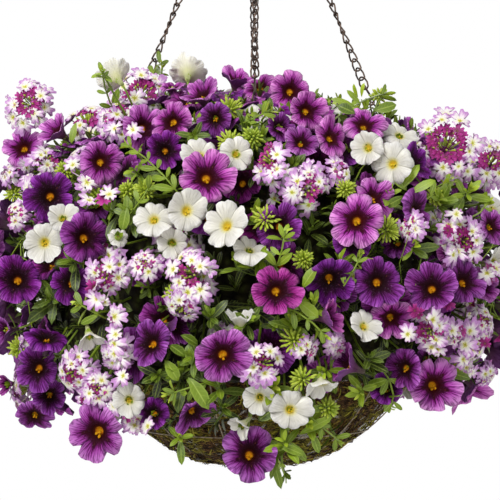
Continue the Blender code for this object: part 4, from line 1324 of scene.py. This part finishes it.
def makeWireFinish(name, dark, light, metallic, roughness):
    # plated steel wire with a bronze coat: semi-gloss, with lighter patches that are partly wear and partly
    # painted highlights
    material, add = startMaterial(name)
    wearAndHighlights = add("TexNoise", add("TexCoord", output="Object"), Scale=300.0, Detail=4.0)
    return finishMaterial(material, Metallic=metallic,
                          Base_Color=add("ValToRGB", wearAndHighlights, stops=((0.35, dark), (0.7, light))),
                          Roughness=add("MapRange", wearAndHighlights, 0.3, 0.7, roughness - 0.08, roughness + 0.12))


bronzedWire = makeWireFinish("bronzedSteelWire", "#2e2620", "#6e5a4e", 0.75, 0.38)
bowlWire = makeWireFinish("bowlSteelWire", "#5c4c3a", "#b0a088", 0.3, 0.45)
soil = makeSoilFinish()
for name, node in frame["nodes"].items():
    for place in node.material_slots:
        place.material = soil if name == "potting_soil" else bronzedWire

# the bowl's thin wires, sunk into the moss
wires = dict(ribRadius=0.1501, rib=0.0005, band=0.0005, foot=0.0008, sink=0.0023)


def addWireRing(radius, thickness, location=(0, 0, 0), rotation=(0, 0, 0)):
    bpy.ops.mesh.primitive_torus_add(major_radius=radius, minor_radius=thickness, major_segments=120,
                                     minor_segments=6, location=location, rotation=rotation)
    bpy.ops.object.transform_apply(location=True, rotation=True)
    return bpy.context.object


def makeBowlWires():
    ribs = sorted(name for name in frame["nodes"] if name.startswith("rib_"))
    rings = []
    for number in range(len(ribs) // 2):
        turn = (number + 0.5) * 2 * pi / len(ribs)
        rib = addWireRing(wires["ribRadius"], wires["rib"], rotation=(pi / 2, 0, turn))
        cutAt(rib, 0.0, fill=True)
        cutAt(rib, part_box(ribs[0])[0].z - rimZ + 0.001, keepLow=False, fill=True)
        rib.data.transform(Matrix.Translation((0, 0, rimZ)))
        rings.append(rib)
    for name, kind in (("band_1", "band"), ("band_2", "band"), ("base_ring", "foot")):
        low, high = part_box(name)
        radius, height = high.x - (high.z - low.z) / 2, (low.z + high.z) / 2 - rimZ
        closer = 1 - wires["sink"] / hypot(radius, height)
        rings.append(addWireRing(radius * closer, wires[kind], (0, 0, rimZ + height * closer)))
    for ring in rings:
        ring.select_set(True)
    bpy.ops.object.join()
    piece = bpy.context.object
    piece.name = "bowl_wires"
    bpy.ops.object.shade_smooth()
    piece.select_set(False)
    finishPiece(piece, bowlWire, "bronzed_wire", *ribs, "band_1", "band_2", "base_ring")


makeBowlWires()
chain = dict(pitch=0.0081, length=0.0121, width=0.0080, wire=0.00080, twist=40.0, turnPerLink=13.0)


def makeLink():
    bpy.ops.mesh.primitive_torus_add(
        major_segments=12, minor_segments=5, major_radius=chain["width"] / 2 - chain["wire"],
        minor_radius=chain["wire"], location=(0, 0, 0), rotation=(0, 0, 0))
    piece = bpy.context.object
    straight = (chain["length"] - chain["width"]) / 2
    for vertex in piece.data.vertices:
        vertex.co.y += straight if vertex.co.y > 1e-5 else -straight if vertex.co.y < -1e-5 else 0.0
    places = np.array([vertex.co for vertex in piece.data.vertices])
    corners = [list(face.vertices) for face in piece.data.polygons]
    bpy.data.objects.remove(piece)
    return dict(places=places, count=len(places), loops=np.concatenate(corners),
                starts=np.arange(len(corners)) * 4, growth=np.zeros((4 * len(corners), 2)))


link = makeLink()


def linkPoints(turn):
    # x across, y along the chain, z through the link; the two ends are turned against each other
    x, y, z = link["places"].T
    angle = radians(chain["twist"]) * y / (chain["length"] / 2) + turn
    return np.stack((x * np.cos(angle) + z * np.sin(angle), x * np.sin(angle) - z * np.cos(angle), y), axis=1)


for side, startTurn in (("front", 0.3), ("right", 1.57), ("back", 1.1), ("left", 1.9)):
    upper, lower = (sum(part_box(f"{part}_chain_{side}"), Vector()) / 2 for part in ("upper", "lower"))
    through, along = np.array(lower), unit(upper - lower)
    for part in ("upper", "lower"):
        low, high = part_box(f"{part}_chain_{side}")
        first = (low.z - through[2]) / along[2] + chain["length"] / 2
        last = (high.z - through[2]) / along[2] - chain["length"] / 2
        count = int(round((last - first) / chain["pitch"])) + 1
        heap = newHeap()
        for step in range(count):
            place = through + along * (first + (last - first) * step / (count - 1))
            turn = startTurn + radians(chain["turnPerLink"]) * step + rng.normal(0, 0.05)
            addCopy(heap, link, placed(linkPoints(turn), axesFor(along), place))
        piece = pieceFromHeap(heap, f"{part}_links_{side}")
        finishPiece(piece, bronzedWire, "bronzed_wire", f"{part}_chain_{side}")
print("bowl and chains made")
